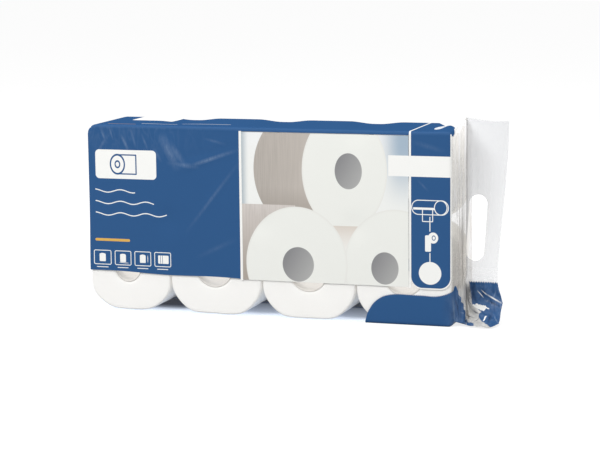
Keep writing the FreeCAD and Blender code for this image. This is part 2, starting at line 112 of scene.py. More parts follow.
class PackColours(bpy.types.PropertyGroup):
    ink: colour_property("Blue print", "Blue of the printed film", linear(50, 89, 136))
    white: colour_property("White print", "White of the printed film", linear(246, 246, 243))
    paper_print: colour_property("Printed roll", "End of a roll in the printed picture",
                                 linear(237, 238, 233))
    side_print: colour_property("Printed side", "Side of a roll in the printed picture",
                                linear(183, 176, 169))
    tissue: colour_property("Tissue", "Paper of the rolls", linear(251, 250, 247))
    board: colour_property("Core board", "Cardboard of the cores", linear(218, 215, 210))
    clear: colour_property("Clear film", "Milky tone of the film where it is not printed",
                           linear(240, 241, 243))


def sizes():
    return bpy.context.scene.pack_sizes


def colours():
    return bpy.context.scene.pack_colours


# ---------------------------------------------------------------- mesh helpers

def grid_arrays(points, closed_rows=False, closed_columns=False):
    """Vertices and faces of a grid of points: one vertex a point, one face a cell."""
    rows, columns = points.shape[:2]
    index = np.arange(rows * columns).reshape(rows, columns)
    if closed_rows:
        index = np.vstack([index, index[:1]])
    if closed_columns:
        index = np.hstack([index, index[:, :1]])
    faces = np.stack([index[:-1, :-1], index[1:, :-1], index[1:, 1:], index[:-1, 1:]], axis=-1)
    return points.reshape(-1, 3), faces.reshape(-1, 4)


def make_piece(name, grids, flats=None, merge=0.0):
    """Join grids (points in mm, closed_rows, closed_columns) into one smooth mesh.

    flats gives each grid's place on the flat film in mm, which goes to the UV map."""
    spots = []
    faces = []
    flat = []
    start = 0
    for number, (points, closed_rows, closed_columns) in enumerate(grids):
        part, cells = grid_arrays(points, closed_rows, closed_columns)
        spots.append(part)
        faces.append(cells + start)
        start += len(part)
        if flats is not None:
            flat.append(flats[number].reshape(-1, 2))
    spots = np.concatenate(spots) * MM
    faces = np.concatenate(faces)
    mesh = bpy.data.meshes.new(name)
    mesh.from_pydata(spots.tolist(), [], faces.tolist())
    if flats is not None:
        flat = np.concatenate(flat) * MM
        layer = mesh.uv_layers.new(name="flat")
        layer.data.foreach_set("uv", flat[faces.ravel()].astype(np.float32).ravel())
    if merge:
        work = bmesh.new()
        work.from_mesh(mesh)
        bmesh.ops.remove_doubles(work, verts=work.verts, dist=merge * MM)
        bmesh.ops.recalc_face_normals(work, faces=work.faces)
        work.to_mesh(mesh)
        work.free()
    mesh.polygons.foreach_set("use_smooth", np.ones(len(mesh.polygons), bool))
    mesh.update()
    piece = bpy.data.objects.new(name, mesh)
    bpy.context.scene.collection.objects.link(piece)
    return piece


def finish_piece(piece, material, node):
    """Give a piece its material and its place on the body, and hide the CAD part it stands for."""
    piece.data.materials.append(bpy.data.materials[material])
    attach(piece, "root")
    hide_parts(node)


def add_wall(piece, thickness, offset):
    wall = piece.modifiers.new("Wall", "SOLIDIFY")
    wall.thickness = thickness
    wall.offset = offset
    wall.use_even_offset = False


def stations(low, high, edge, fine, step):
    """Positions from low to high: close together within edge of each end, step apart between."""
    count = max(2, round((high - low - 2 * edge) / step) + 1)
    return np.concatenate([np.linspace(low, low + edge, fine + 1)[:-1],
                           np.linspace(low + edge, high - edge, count),
                           np.linspace(high - edge, high, fine + 1)[1:]])


def ease(value, low, high):
    """Rise smoothly from 0 at low to 1 at high: 3 t squared less 2 t cubed."""
    t = np.clip((value - low) / (high - low), 0.0, 1.0)
    return t * t * (3 - 2 * t)


def folds(u, v, seed, length, count=6, lean=0.0, spread=math.pi):
    """Crumple pattern of 0 to 1: the mean of count sharp-ridged waves, 1 less the size of a
    sine, that run in seeded directions, each bent a little by a slow sine across it."""
    rng = np.random.default_rng(seed)
    total = np.zeros(np.broadcast(u, v).shape)
    for _ in range(count):
        angle = lean + spread * (rng.random() - 0.5)
        wave = length * (0.6 + 0.9 * rng.random())
        phase = 2 * math.pi * rng.random()
        bend = 0.5 * np.sin((u * math.sin(angle) - v * math.cos(angle)) / (1.7 * length) + phase)
        along = (u * math.cos(angle) + v * math.sin(angle)) / wave
        total += (1 - np.abs(np.sin(math.pi * along + phase + bend))) ** 2
    return total / count


def crease(x, z, start, end, width, height):
    """A ridge from start to end: a Gaussian across it, a half sine along it."""
    (x0, z0), (x1, z1) = start, end
    length = math.hypot(x1 - x0, z1 - z0)
    along = ((x - x0) * (x1 - x0) + (z - z0) * (z1 - z0)) / length ** 2
    across = ((x - x0) * (z1 - z0) - (z - z0) * (x1 - x0)) / length
    taper = np.sin(math.pi * np.clip(along, 0, 1))
    return height * taper * np.exp(-(across / width) ** 2)


# ---------------------------------------------------------------- shape of the film

def hug_corner(x, z):
    """Draw the lower corner at the closed end in until it lies on the roll inside it: points
    of that corner farther from the roll's middle than its outline are moved onto it."""
    dx = x - (LEFT + END_ROLL[0])
    dz = z - END_ROLL[1]
    length = np.hypot(dx, dz)
    limit = roll_outline(np.arctan2(dz, dx), *END_ROLL)
    scale = np.where((dx < 0) & (dz < 0), np.minimum(1.0, limit / np.maximum(length, 1e-9)), 1.0)
    return x + dx * (scale - 1), z + dz * (scale - 1)


def round_corner(x, z):
    """Bend the upper corner at the closed end into an arc: in the corner's square, each
    point keeps its largest offset from the arc's centre as its distance from it."""
    dx = x - (LEFT + CURVE)
    dz = z - (TOP - CURVE)
    inside = (dx < 0) & (dz > 0)
    reach = np.maximum(np.abs(dx), np.abs(dz))
    length = np.hypot(dx, dz)
    scale = np.where(inside & (length > 0), reach / np.maximum(length, 1e-9), 1.0)
    return x + dx * (scale - 1), z + dz * (scale - 1)


def sleeve_point(x, y, z):
    """Place of the film round the block of rolls, for a point of the plain box round it.

    The box's edges become arcs of the fold radius, its corners at the closed end larger
    arcs, and the top sinks between the rolls by a smooth step on each side of the line
    where two of them meet."""
    r = sizes().fold_radius / MM
    middle = np.stack([np.maximum(x, LEFT + r), np.clip(y, r - HALF_DEEP, HALF_DEEP - r),
                       np.clip(z, r, TOP - r)], -1)
    offset = np.stack(np.broadcast_arrays(x, y, z), -1) - middle
    reach = np.abs(offset).max(-1)
    length = np.linalg.norm(offset, axis=-1)
    scale = np.where(length > 0, reach / np.maximum(length, 1e-9), 1.0)
    point = middle + offset * scale[..., None]
    px, py, pz = point[..., 0], point[..., 1], point[..., 2]
    px, pz = hug_corner(px, pz)
    px, pz = round_corner(px, pz)
    swell = 0.8 + 1.1 * np.exp(-((pz - 52.0) / 42.0) ** 2)
    px = px - swell * ease(-px, -LEFT - 34.0, -LEFT)
    sag = np.zeros_like(px)
    for edge in COLUMN_EDGES:
        sag = np.maximum(sag, 1 - ease(np.abs(px - edge), 4.0, 34.0))
    near_top = ease(pz, TOP - 26.0, TOP - 1.0) * ease(py, 6.0 - HALF_DEEP, 40.0)
    pz = pz - near_top * sag * sizes().sag / MM
    front = ease(-py, HALF_DEEP - 4.0, HALF_DEEP - 0.5)
    back = ease(py, HALF_DEEP - 4.0, HALF_DEEP - 0.5)
    dent = np.zeros_like(px)
    for edge in COLUMN_EDGES:
        for height, wide, depth in ((112.8, 15.0, 1.1), (TOP, 17.0, 1.3), (0.0, 17.0, 0.9)):
            dent += depth * np.exp(-((px - edge) / wide) ** 2 - ((pz - height) / wide) ** 2)
    py = py + front * dent - back * dent
    lift = np.zeros_like(px)
    for start, end, width, height in FRONT_CREASES:
        lift += crease(px - LEFT, pz, start, end, width, height)
    py = py - front * lift
    seam = back * ease(pz, 66.0, 67.5) * (1 - ease(pz, 80.0, 81.5))
    py = py + 0.45 * seam * ease(px, LEFT, LEFT + 8.0)
    px = px + closed_end_relief(x, py, pz)
    ear = np.exp(-((px - 214.0) / 11.0) ** 2) * np.exp(-((py + 20.0) / 20.0) ** 2)
    pz = pz + 4.2 * ear * ease(pz, TOP - CURVE, TOP)
    return np.stack([px, py, pz], -1)


def closed_end_relief(x, y, z):
    """Steps in the closed end: the two side flaps are thin triangles under the upper and the
    lower flap, and a flat welded fin lies across the middle. Each layer is a smooth step."""
    wall = ease(-x, -LEFT - 3.0, -LEFT)
    middle = TOP / 2
    side = np.abs(y) - (HALF_DEEP - 42.0 * (1 - np.abs(z - middle) / middle))
    flap = ease(side, -1.2, 1.2)
    fin = ease(z, middle - 8.0, middle - 6.5) * (1 - ease(z, middle + 6.5, middle + 8.0))
    weld = 0.12 * np.sin(y * 2.2) * fin
    inner = ease(HALF_DEEP - np.abs(y), 2.0, 7.0) * ease(z, 20.0, 34.0) * (
        1 - ease(z, TOP - 16.0, TOP - 8.0))
    return wall * inner * (0.9 * (1 - flap) * (1 - fin) + 0.3 * flap * (1 - fin) + weld)


# Ridges in the front of the film: start and end from its left edge, width and height
FRONT_CREASES = (
    ((12.0, 222.0), (24.0, 196.0), 2.6, 0.55),
    ((30.0, 224.0), (50.0, 203.0), 2.4, 0.60),
    ((44.0, 223.0), (70.0, 190.0), 3.0, 0.45),
    ((86.0, 222.0), (101.0, 190.0), 2.6, 0.60),
    ((97.0, 214.0), (116.0, 176.0), 3.2, 0.75),
    ((106.0, 174.0), (190.0, 199.0), 3.4, 0.70),
    ((112.0, 170.0), (150.0, 186.0), 2.6, 0.45),
    ((128.0, 104.0), (192.0, 186.0), 3.0, 0.40),
    ((150.0, 200.0), (189.0, 216.0), 2.8, 0.35),
    ((403.0, 214.0), (430.0, 150.0), 3.0, 0.30),
)


def handle_point(p, q):
    """Place of the handle, for a point of its flat sheet: p along the pack, q upwards.

    Above the curl the sheet hangs in the middle plane. Below it the sheet follows a quarter
    circle forward and then lies on the floor. Folds lift it along its normal, shallow in
    the handle and deep in the tail."""
    curl_top = 36.0
    radius = 34.6
    turn = np.clip((curl_top - q) / radius, 0.0, math.pi / 2)
    rest = np.maximum(curl_top - q - radius * math.pi / 2, 0.0)
    forward = radius * (1 - np.cos(turn)) + rest
    height = np.where(q < curl_top, curl_top - radius * np.sin(turn), q)
    deep = ease(62.0 - q, 0.0, 26.0)
    wave = 0.9 * np.sin(p / 9.0 + q / 60.0) * ease(p, ROOT, ROOT + 14.0) * (1 - deep)
    wave = wave + 0.5 * folds(p, q * 0.25, 11, 7.0, 5, 0.0, 0.7)
    crumple = sizes().crumple / MM * 2.0 * folds(p, q * 0.8, 5, 17.0, 6, 0.6, 2.4)
    small = 1.1 * folds(p, q, 8, 7.0, 6)
    tube = crease(p, q, (226.0, 30.0), (262.0, -16.0), 4.5, 5.0)
    knee = crease(p, q, (244.0, 42.0), (276.0, 16.0), 3.0, 3.0)
    lift = wave * (1 - deep) + (crumple + small + tube + knee) * deep
    x = p + 0.23 * forward + 0.8 * deep * (folds(q, p, 21, 12.0) - 0.5)
    return np.stack([x, -forward - lift * np.cos(turn), height + lift * np.sin(turn)], -1)


def film_sleeve():
    """Grids of the sleeve and of the gathered end, with their places on the flat film."""
    step = sizes().grid_step / MM
    rim = 6.0
    xs = stations(LEFT, RIGHT - rim, 26.0, 9, step)
    ys = stations(-HALF_DEEP, HALF_DEEP, 4.0, 4, step)
    zs = stations(0.0, TOP, 8.0, 5, step)
    depth = 2 * HALF_DEEP
    grids = []
    flats = []

    def panel(a, b, where, flat):
        first, second = np.meshgrid(a, b, indexing="ij")
        grids.append((sleeve_point(*where(first, second)), False, False))
        flats.append(np.stack(np.broadcast_arrays(*flat(first, second)), -1))

    panel(xs, zs, lambda x, z: (x, x * 0 - HALF_DEEP, z), lambda x, z: (x - LEFT, z))
    panel(xs, ys, lambda x, y: (x, y, x * 0 + TOP), lambda x, y: (x - LEFT, TOP + HALF_DEEP + y))
    panel(xs, zs, lambda x, z: (x, x * 0 + HALF_DEEP, z),
          lambda x, z: (x - LEFT, 2 * TOP + depth - z))
    panel(xs, ys, lambda x, y: (x, y, x * 0), lambda x, y: (x - LEFT, -HALF_DEEP - y))
    panel(ys, zs, lambda y, z: (y * 0 + LEFT, y, z), lambda y, z: (-HALF_DEEP - y, z))

    # Round the open edge: up the front, over the top, down the back, along the bottom
    zero = np.zeros(len(zs) - 1)
    flat_y = np.zeros(len(ys) - 1)
    loop_y = np.concatenate([zero - HALF_DEEP, ys[:-1], zero + HALF_DEEP, ys[::-1][:-1]])
    loop_z = np.concatenate([zs[:-1], flat_y + TOP, zs[::-1][:-1], flat_y])
    side = np.concatenate([zero, flat_y + 1, zero + 2, flat_y + 3])
    start = sleeve_point(np.full_like(loop_y, RIGHT - rim), loop_y, loop_z)
    across = np.abs(loop_y) / HALF_DEEP
    root_wall = np.interp(loop_z, [0.0, 40.0, TOP], [-28.0, 34.0, 238.2])
    root_top = 188.0 + 50.2 * across
    root_bottom = 24.0 - 52.0 * across
    root_q = np.select([side == 1, side == 3], [root_top, root_bottom], root_wall)
    root = handle_point(np.full_like(root_q, ROOT), root_q)
    turn = np.linspace(0, math.pi / 2, 7)[:, None]
    inset_y = np.clip(loop_y, rim - HALF_DEEP, HALF_DEEP - rim)
    inset_z = np.clip(loop_z, rim, TOP - rim)
    bend = np.stack(np.broadcast_arrays(
        start[:, 0] + rim * np.sin(turn),
        start[:, 1] + (inset_y - loop_y) * (1 - np.cos(turn)),
        start[:, 2] + (inset_z - loop_z) * (1 - np.cos(turn))), -1)
    w = np.linspace(0, 1, 40)[1:, None]
    line = bend[-1][None] * (1 - w[..., None]) + root[None] * w[..., None]
    wall = (side == 0) | (side == 2)
    height = np.broadcast_to(loop_z, line.shape[:2])
    hang = np.sin(math.pi * w)
    pleats = folds(w * 50.0 + 0 * height, height * 0.16, 3, 13.0, 5, 0.0, 0.5)
    fine = folds(w * 50.0 + 0 * height, height * 0.5, 4, 8.0, 6, 0.2, 1.4)
    low = 1 - ease(height, 20.0, 90.0)
    out = hang ** 0.7 * (pleats * 1.9 + fine * (0.12 + 1.5 * low)) * sizes().pleat / MM
    tucked = -2.2 * hang
    line[..., 0] += np.where(wall[None], out, tucked)
    points = np.concatenate([bend, line])
    far = np.concatenate([rim * turn, rim * math.pi / 2 + w * 46.0])
    on_flat = np.select([side == 0, side == 1, side == 2],
                        [loop_z, TOP + HALF_DEEP + loop_y, 2 * TOP + depth - loop_z],
                        -HALF_DEEP - loop_y)
    share = np.concatenate([turn * 0, w])
    flat_v = on_flat + share * np.where(side == 0, root_q - loop_z, 0.0)
    flat_u = RIGHT - rim - LEFT + far + 0 * loop_y
    grids.append((points, False, True))
    flats.append(np.stack([flat_u, flat_v], -1))
    return grids, flats


def slot_and_outline():
    """Rays of the handle's sheet: from the rim of the hand slot to the outer edge.

    The rim is two half circles and two sides. Each ray leaves it along its normal, and
    ends where it first meets the polygon of the outer edge."""
    half = 28.5
    radius = 10.75
    lean = math.radians(4.0)
    arc = np.linspace(0, math.pi, 84)
    side = np.linspace(0, 1, 44)[1:-1]
    zero = np.zeros_like(side)
    spine = np.concatenate([np.full(84, half), half - 2 * half * side, np.full(84, -half),
                            2 * half * side - half])
    angle = np.concatenate([arc, zero + math.pi, arc + math.pi, zero + 2 * math.pi])
    middle = np.array([242.0, 109.5])
    along = np.array([math.sin(lean), math.cos(lean)])
    direction = np.stack([np.cos(angle - lean), np.sin(angle - lean)], -1)
    origin = middle + spine[:, None] * along
    inner = origin + direction * radius
    corners = np.array([
        (ROOT, 238.2), (246.0, 236.2), (263.1, 234.4), (280.2, 235.2), (279.0, 201.5),
        (276.2, 159.9), (270.8, 103.7), (267.4, 66.0), (267.0, 47.0), (270.3, 34.0),
        (274.4, 22.0), (271.2, 11.0), (269.8, -6.0), (266.0, -22.0), (257.0, -35.5),
        (240.0, -33.0), (ROOT, -28.0)])
    following = np.roll(corners, -1, axis=0)
    edge = following - corners
    gap = corners[None] - origin[:, None]
    cross = direction[:, None, 0] * edge[None, :, 1] - direction[:, None, 1] * edge[None, :, 0]
    safe = np.where(np.abs(cross) < 1e-9, 1e-9, cross)
    reach = (gap[..., 0] * edge[None, :, 1] - gap[..., 1] * edge[None, :, 0]) / safe
    share = (gap[..., 0] * direction[:, None, 1] - gap[..., 1] * direction[:, None, 0]) / safe
    hit = (reach > 0) & (share >= -1e-9) & (share <= 1 + 1e-9)
    length = np.where(hit, reach, 1e9).min(axis=1)
    outer = origin + direction * length[:, None]
    return inner, outer


# ---------------------------------------------------------------- shape of the rolls

def roll_outline(angle, half_w, half_t, round_r):
    """Radius of a roll pressed flat on four sides: a smooth minimum, by the sum of powers,
    of its own round and the distances to the two pairs of neighbours."""
    power = 26.0
    wide = half_w / np.maximum(np.abs(np.cos(angle)), 1e-6)
    tall = half_t / np.maximum(np.abs(np.sin(angle)), 1e-6)
    return (round_r ** -power + wide ** -power + tall ** -power) ** (-1 / power)


def oval(angle, half_w, half_t):
    """Radius of an ellipse at an angle."""
    return 1 / np.hypot(np.cos(angle) / half_w, np.sin(angle) / half_t)


def roll_grid(centre, half_w, half_t, half_y, round_r, bore_w, bore_t, shift, tail, seed):
    """Surface of one roll, closed both ways: rows go round it, columns along its section.

    The section runs from the bore over the front end, round the rim, along the side and
    back. The outer radius shrinks by one thickness of paper in a turn from the tail. The
    bore lies to the left of the middle by shift, which fades out towards the outline."""
    count = sizes().roll_segments
    rim = sizes().rim / MM
    rng = np.random.default_rng(seed)
    angle = np.linspace(0, 2 * math.pi, count, endpoint=False)[:, None]
    turn = np.mod(angle - tail, 2 * math.pi) / (2 * math.pi)
    outline = roll_outline(angle, half_w, half_t, round_r) - 0.55 * turn - 0.1
    bore = oval(angle, bore_w, bore_t)
    face = np.linspace(0, 1, 13)[None]
    bow = np.linspace(0, math.pi / 2, 7)[None, 1:]
    side = np.linspace(-1, 1, 15)[None, 1:-1]
    inside = np.linspace(1, -1, 7)[None, 1:-1]
    soft = 0.35 * np.sin(3 * angle + rng.random() * 6) + 0.25 * np.sin(5 * angle + 2)
    sunk = 0.5 * (1 - face) ** 3
    radial = [bore + (outline - rim - bore) * face,
              outline - rim + rim * np.sin(bow) + 0 * angle,
              outline + 0.22 * np.sin(side * 7 + 4 * angle) * (1 - side ** 2),
              outline - rim + rim * np.sin(bow[:, ::-1]) + 0 * angle,
              bore + (outline - rim - bore) * face[:, ::-1],
              bore + 0 * inside]
    flat = half_y - 0.35
    depth = [-(flat + 0.28 * soft * face * (1 - face) - sunk) + 0 * angle,
             -(flat - rim + rim * np.cos(bow)) + 0 * angle,
             side * (flat - rim) + 0 * angle,
             (flat - rim + rim * np.cos(bow[:, ::-1])) + 0 * angle,
             (flat + 0.28 * soft * face * (1 - face) - sunk)[:, ::-1] + 0 * angle,
             inside * (flat - 0.5) + 0 * angle]
    radial = np.concatenate([np.broadcast_to(r, (count, r.shape[1])) for r in radial], 1)
    depth = np.concatenate([np.broadcast_to(d, (count, d.shape[1])) for d in depth], 1)
    fade = np.clip((outline - radial) / (outline - bore), 0.0, 1.0)
    x = centre[0] + radial * np.cos(angle) - shift * fade
    z = centre[2] + radial * np.sin(angle)
    off = radial - outline
    chart = np.stack([angle * half_w + 0 * radial, np.where(np.abs(off) < rim, depth, off)], -1)
    return np.stack([x, centre[1] + depth, z], -1), chart


def core_grid(centre, half_w, half_t, half_y, wall, seed):
    """Surface of one cardboard tube, closed both ways, with softly rounded rims."""
    angle = np.linspace(0, 2 * math.pi, 96, endpoint=False)[:, None]
    rng = np.random.default_rng(seed)
    along = np.linspace(-1, 1, 13)[None]
    bow = np.linspace(-math.pi / 2, math.pi / 2, 7)[None]
    oval_r = oval(angle, half_w, half_t)
    dent = 0.12 * np.sin(2 * angle + rng.random() * 6) - 0.12
    half = wall / 2
    flat = half_y - half
    outer = oval_r + dent + 0 * along
    inner = oval_r + dent - wall + 0 * along
    end_r = oval_r + dent - half + half * np.sin(bow[:, 1:-1])
    end_y = flat + half * np.cos(bow[:, 1:-1]) + 0 * angle
    rows_r = np.concatenate([outer, end_r[:, ::-1], inner[:, ::-1], end_r], 1)
    rows_y = np.concatenate([along * flat + 0 * angle, end_y[:, ::-1], along[:, ::-1] * flat
                             + 0 * angle, -end_y], 1)
    x = centre[0] + rows_r * np.cos(angle)
    z = centre[2] + rows_r * np.sin(angle)
    return np.stack([x, centre[1] + rows_y, z], -1)


# ---------------------------------------------------------------- shader helpers

class Board:
    """Adds nodes to one tree; each call gives back the socket it makes."""

    def __init__(self, tree):
        self.tree = tree
        self.count = 0

    def node(self, kind, **settings):
        made = self.tree.nodes.new(kind)
        made.location = (180 * (self.count // 8), -160 * (self.count % 8))
        self.count += 1
        for name, setting in settings.items():
            setattr(made, name, setting)
        return made

    def put(self, socket, given):
        if isinstance(given, bpy.types.NodeSocket):
            self.tree.links.new(given, socket)
        elif socket.type == "RGBA" and len(given) == 3:
            socket.default_value = (*given, 1.0)
        else:
            socket.default_value = given

    def fill(self, made, **given):
        """Put values or sockets into a node's inputs, by name with _ for a space."""
        for name, value in given.items():
            self.put(made.inputs[name.replace("_", " ")], value)
        return made

    def math(self, operation, *given, clamp=False):
        made = self.node("ShaderNodeMath", operation=operation, use_clamp=clamp)
        for socket, value in zip(made.inputs, given):
            self.put(socket, value)
        return made.outputs[0]

    def plus(self, first, second, clamp=False):
        return self.math("ADD", first, second, clamp=clamp)

    def minus(self, first, second, clamp=False):
        return self.math("SUBTRACT", first, second, clamp=clamp)

    def size(self, value):
        return self.math("ABSOLUTE", value)

    def sine(self, value):
        return self.math("SINE", value)

    def step(self, value, edge, blur):
        """0 below the edge and 1 above it, with a soft change blur wide."""
        if isinstance(edge, bpy.types.NodeSocket):
            value, edge = self.minus(value, edge), 0.0
        made = self.node("ShaderNodeMapRange", interpolation_type="SMOOTHSTEP")
        self.fill(made, Value=value, From_Min=edge - blur / 2, From_Max=edge + blur / 2)
        return made.outputs["Result"]

    def ramp(self, value, low, high, start=0.0, end=1.0):
        made = self.fill(self.node("ShaderNodeMapRange"), Value=value, From_Min=low,
                         From_Max=high, To_Min=start, To_Max=end)
        return made.outputs["Result"]

    def both(self, *masks):
        """The product of masks, which is 1 only where each of them is 1."""
        total = masks[0]
        for mask in masks[1:]:
            total = self.math("MULTIPLY", total, mask)
        return total

    def either(self, *masks):
        total = masks[0]
        for mask in masks[1:]:
            total = self.math("MAXIMUM", total, mask)
        return total

    def without(self, mask):
        return self.minus(1.0, mask, clamp=True)

    def band(self, value, low, high, blur=0.4):
        return self.both(self.step(value, low, blur), self.without(self.step(value, high, blur)))

    def over(self, below, mask, colour):
        made = self.node("ShaderNodeMix", data_type="RGBA")
        for index, given in ((0, mask), (6, below), (7, colour)):
            self.put(made.inputs[index], given)
        return made.outputs[2]

    def noise(self, vector, scale, detail=3.0, roughness=0.55, distortion=0.0):
        made = self.fill(self.node("ShaderNodeTexNoise"), Vector=vector, Scale=scale,
                         Detail=detail, Roughness=roughness, Distortion=distortion)
        return made.outputs["Fac"]

    def stretched(self, vector, scale, turn=(0.0, 0.0, 0.0)):
        made = self.fill(self.node("ShaderNodeMapping"), Vector=vector, Scale=scale,
                         Rotation=turn)
        return made.outputs["Vector"]

    def parts(self, vector):
        made = self.node("ShaderNodeSeparateXYZ")
        self.put(made.inputs[0], vector)
        return made.outputs

    def chart(self):
        return self.node("ShaderNodeUVMap", uv_map="flat").outputs["UV"]

    def place(self):
        return self.node("ShaderNodeTexCoord").outputs["Object"]

    def bump(self, height, strength, distance):
        made = self.fill(self.node("ShaderNodeBump"), Height=height, Strength=strength,
                         Distance=distance)
        return made.outputs["Normal"]

    def group(self, name, **given):
        made = self.node("ShaderNodeGroup", node_tree=bpy.data.node_groups[name])
        return self.fill(made, **given).outputs


class FilmBoard(Board):
    """Adds shapes of the print. Places and sizes are in mm on the flat film: along the pack
    from its closed end, and up."""

    def __init__(self, tree):
        super().__init__(tree)
        chart = self.parts(self.chart())
        self.along = self.both(chart["X"], 1000.0)
        self.up = self.both(chart["Y"], 1000.0)

    def after(self, place, blur):
        return self.step(self.along, place, blur)

    def before(self, place, blur):
        return self.without(self.after(place, blur))

    def above(self, place, blur):
        return self.step(self.up, place, blur)

    def below(self, place, blur):
        return self.without(self.above(place, blur))

    def box(self, x0, x1, z0, z1, corner=0.0, line=0.5, out="Mask"):
        return self.group("Printed box", Along=self.along, Up=self.up,
                          Centre_along=(x0 + x1) / 2, Centre_up=(z0 + z1) / 2,
                          Half_width=(x1 - x0) / 2, Half_height=(z1 - z0) / 2,
                          Corner=corner, Line=line)[out]

    def ovals(self, x, z, half_w, half_t, line=0.5):
        return self.group("Printed oval", Along=self.along, Up=self.up, Centre_along=x,
                          Centre_up=z, Half_width=half_w, Half_height=half_t, Line=line)

    def oval(self, *shape, out="Mask"):
        return self.ovals(*shape)[out]

    def stroke(self, x0, z0, x1, z1, width, soft=0.5):
        length = math.hypot(x1 - x0, z1 - z0)
        return self.group("Film streak", Along=self.along, Up=self.up,
                          Centre_along=(x0 + x1) / 2, Centre_up=(z0 + z1) / 2,
                          Cosine=(x1 - x0) / length, Sine=(z1 - z0) / length,
                          Half_length=(length + width) / 2, Half_width=width / 2,
                          Soft=soft)["Mask"]

    def strokes(self, rows):
        return self.either(*[self.stroke(*row) for row in rows])


def new_group(name, inputs, outputs):
    """Start a node group of float sockets, and one called Vector; give back its board and ends."""
    tree = bpy.data.node_groups.new(name, "ShaderNodeTree")
    for label in inputs:
        kind = "NodeSocketVector" if label == "Vector" else "NodeSocketFloat"
        tree.interface.new_socket(label, in_out="INPUT", socket_type=kind)
    for label in outputs:
        tree.interface.new_socket(label, in_out="OUTPUT", socket_type="NodeSocketFloat")
    board = Board(tree)
    start = board.node("NodeGroupInput")
    end = board.node("NodeGroupOutput")
    return board, start.outputs, end.inputs


FILM_SPOT = ("Along", "Up", "Centre along", "Centre up", "Half width", "Half height")
AXES = (("Along", "Centre along", "Half width"), ("Up", "Centre up", "Half height"))
LINE_BLUR = 0.35


def put_outline(board, given, out, distance, blur):
    """Put out the mask inside an outline, from the distance to it, and a line along it."""
    board.put(out["Mask"], board.without(board.step(distance, 0.0, blur)))
    line = board.minus(board.size(distance), given["Line"])
    board.put(out["Edge"], board.without(board.step(line, 0.0, LINE_BLUR)))


def printed_box_group():
    """Mask of a box with rounded corners on the flat film, and of a line along its edge."""
    board, given, out = new_group("Printed box", (*FILM_SPOT, "Corner", "Line"),
                                  ("Mask", "Edge"))
    parts = []
    for place, centre, half in AXES:
        off = board.size(board.minus(given[place], given[centre]))
        parts.append(board.minus(off, board.minus(given[half], given["Corner"])))
    outside = [board.math("MAXIMUM", part, 0.0) for part in parts]
    far = board.math("SQRT", board.plus(*[board.both(part, part) for part in outside]))
    within = board.math("MINIMUM", board.math("MAXIMUM", *parts), 0.0)
    distance = board.minus(board.plus(far, within), given["Corner"])
    put_outline(board, given, out, distance, 0.4)


def printed_oval_group():
    """Mask of an oval on the flat film, a line along its edge, and how far out a point is."""
    board, given, out = new_group("Printed oval", (*FILM_SPOT, "Line"), ("Mask", "Edge", "Out"))
    parts = [board.math("DIVIDE", board.minus(given[place], given[centre]), given[half])
             for place, centre, half in AXES]
    level = board.math("SQRT", board.plus(*[board.both(part, part) for part in parts]))
    distance = board.both(board.minus(level, 1.0), given["Half width"])
    put_outline(board, given, out, distance, 0.5)
    board.put(out["Out"], level)


def streak_group():
    """Mask of a straight streak: it fades over Soft of its half width and of its half length."""
    board, given, out = new_group(
        "Film streak", ("Along", "Up", "Centre along", "Centre up", "Cosine", "Sine",
                        "Half length", "Half width", "Soft"), ("Mask",))
    dx = board.minus(given["Along"], given["Centre along"])
    dz = board.minus(given["Up"], given["Centre up"])
    run = board.plus(board.both(dx, given["Cosine"]), board.both(dz, given["Sine"]))
    off = board.minus(board.both(dx, given["Sine"]), board.both(dz, given["Cosine"]))
    fades = []
    for far, half in ((off, "Half width"), (run, "Half length")):
        room = board.minus(1.0, board.math("DIVIDE", board.size(far), given[half]))
        fades.append(board.math("DIVIDE", room, given["Soft"], clamp=True))
    board.put(out["Mask"], board.both(*fades))


def crinkle_group():
    """Creases of thin film from ridged noise: 1 less seven times the distance from its middle
    value.

    Height is for a bump, Sheen marks where two ridges cross, Streak the long ridges and
    Shade the hollows between them."""
    board, given, out = new_group("Film crinkle", ("Vector", "Size", "Stretch along", "Turn"),
                                  ("Height", "Sheen", "Streak", "Shade"))
    turned = board.fill(board.node("ShaderNodeVectorRotate", rotation_type="Y_AXIS"),
                        Vector=given["Vector"], Angle=given["Turn"])
    shape = board.fill(board.node("ShaderNodeCombineXYZ"), X=given["Stretch along"], Y=1.0,
                       Z=1.0)
    scaled = board.node("ShaderNodeVectorMath", operation="MULTIPLY")
    board.put(scaled.inputs[0], turned.outputs["Vector"])
    board.put(scaled.inputs[1], shape.outputs["Vector"])
    sized = board.node("ShaderNodeVectorMath", operation="SCALE")
    board.put(sized.inputs[0], scaled.outputs["Vector"])
    board.put(sized.inputs["Scale"], given["Size"])
    vector = sized.outputs["Vector"]
    ridges = []
    for scale, detail, bend in ((38.0, 2.0, 0.6), (95.0, 2.0, 0.9)):
        off = board.size(board.minus(board.noise(vector, scale, detail, 0.5, bend), 0.5))
        ridges.append(board.minus(1.0, board.both(off, 7.0), clamp=True))
    board.put(out["Height"], board.plus(ridges[0], board.both(ridges[1], 0.4)))
    board.put(out["Sheen"], board.math("POWER", board.both(*ridges), 1.5))
    board.put(out["Streak"], board.math("POWER", ridges[0], 3.0))
    slow = board.noise(vector, 22.0, 2.0, 0.5, 0.3)
    board.put(out["Shade"], board.step(slow, 0.56, 0.16))


def node_of(tree, kind):
    return [n for n in tree.nodes if n.type == kind][0]


def new_material(name, kind=Board):
    material = bpy.data.materials.new(name)
    material.use_nodes = True
    shader = node_of(material.node_tree, "BSDF_PRINCIPLED")
    return material, kind(material.node_tree), shader


def let_painted_glow(material, shader):
    """Let a surface's painted glow show without making the mesh a lamp."""
    shader.inputs["Emission Strength"].default_value = 1.0
    material.cycles.emission_sampling = "NONE"


# ---------------------------------------------------------------- print of the film

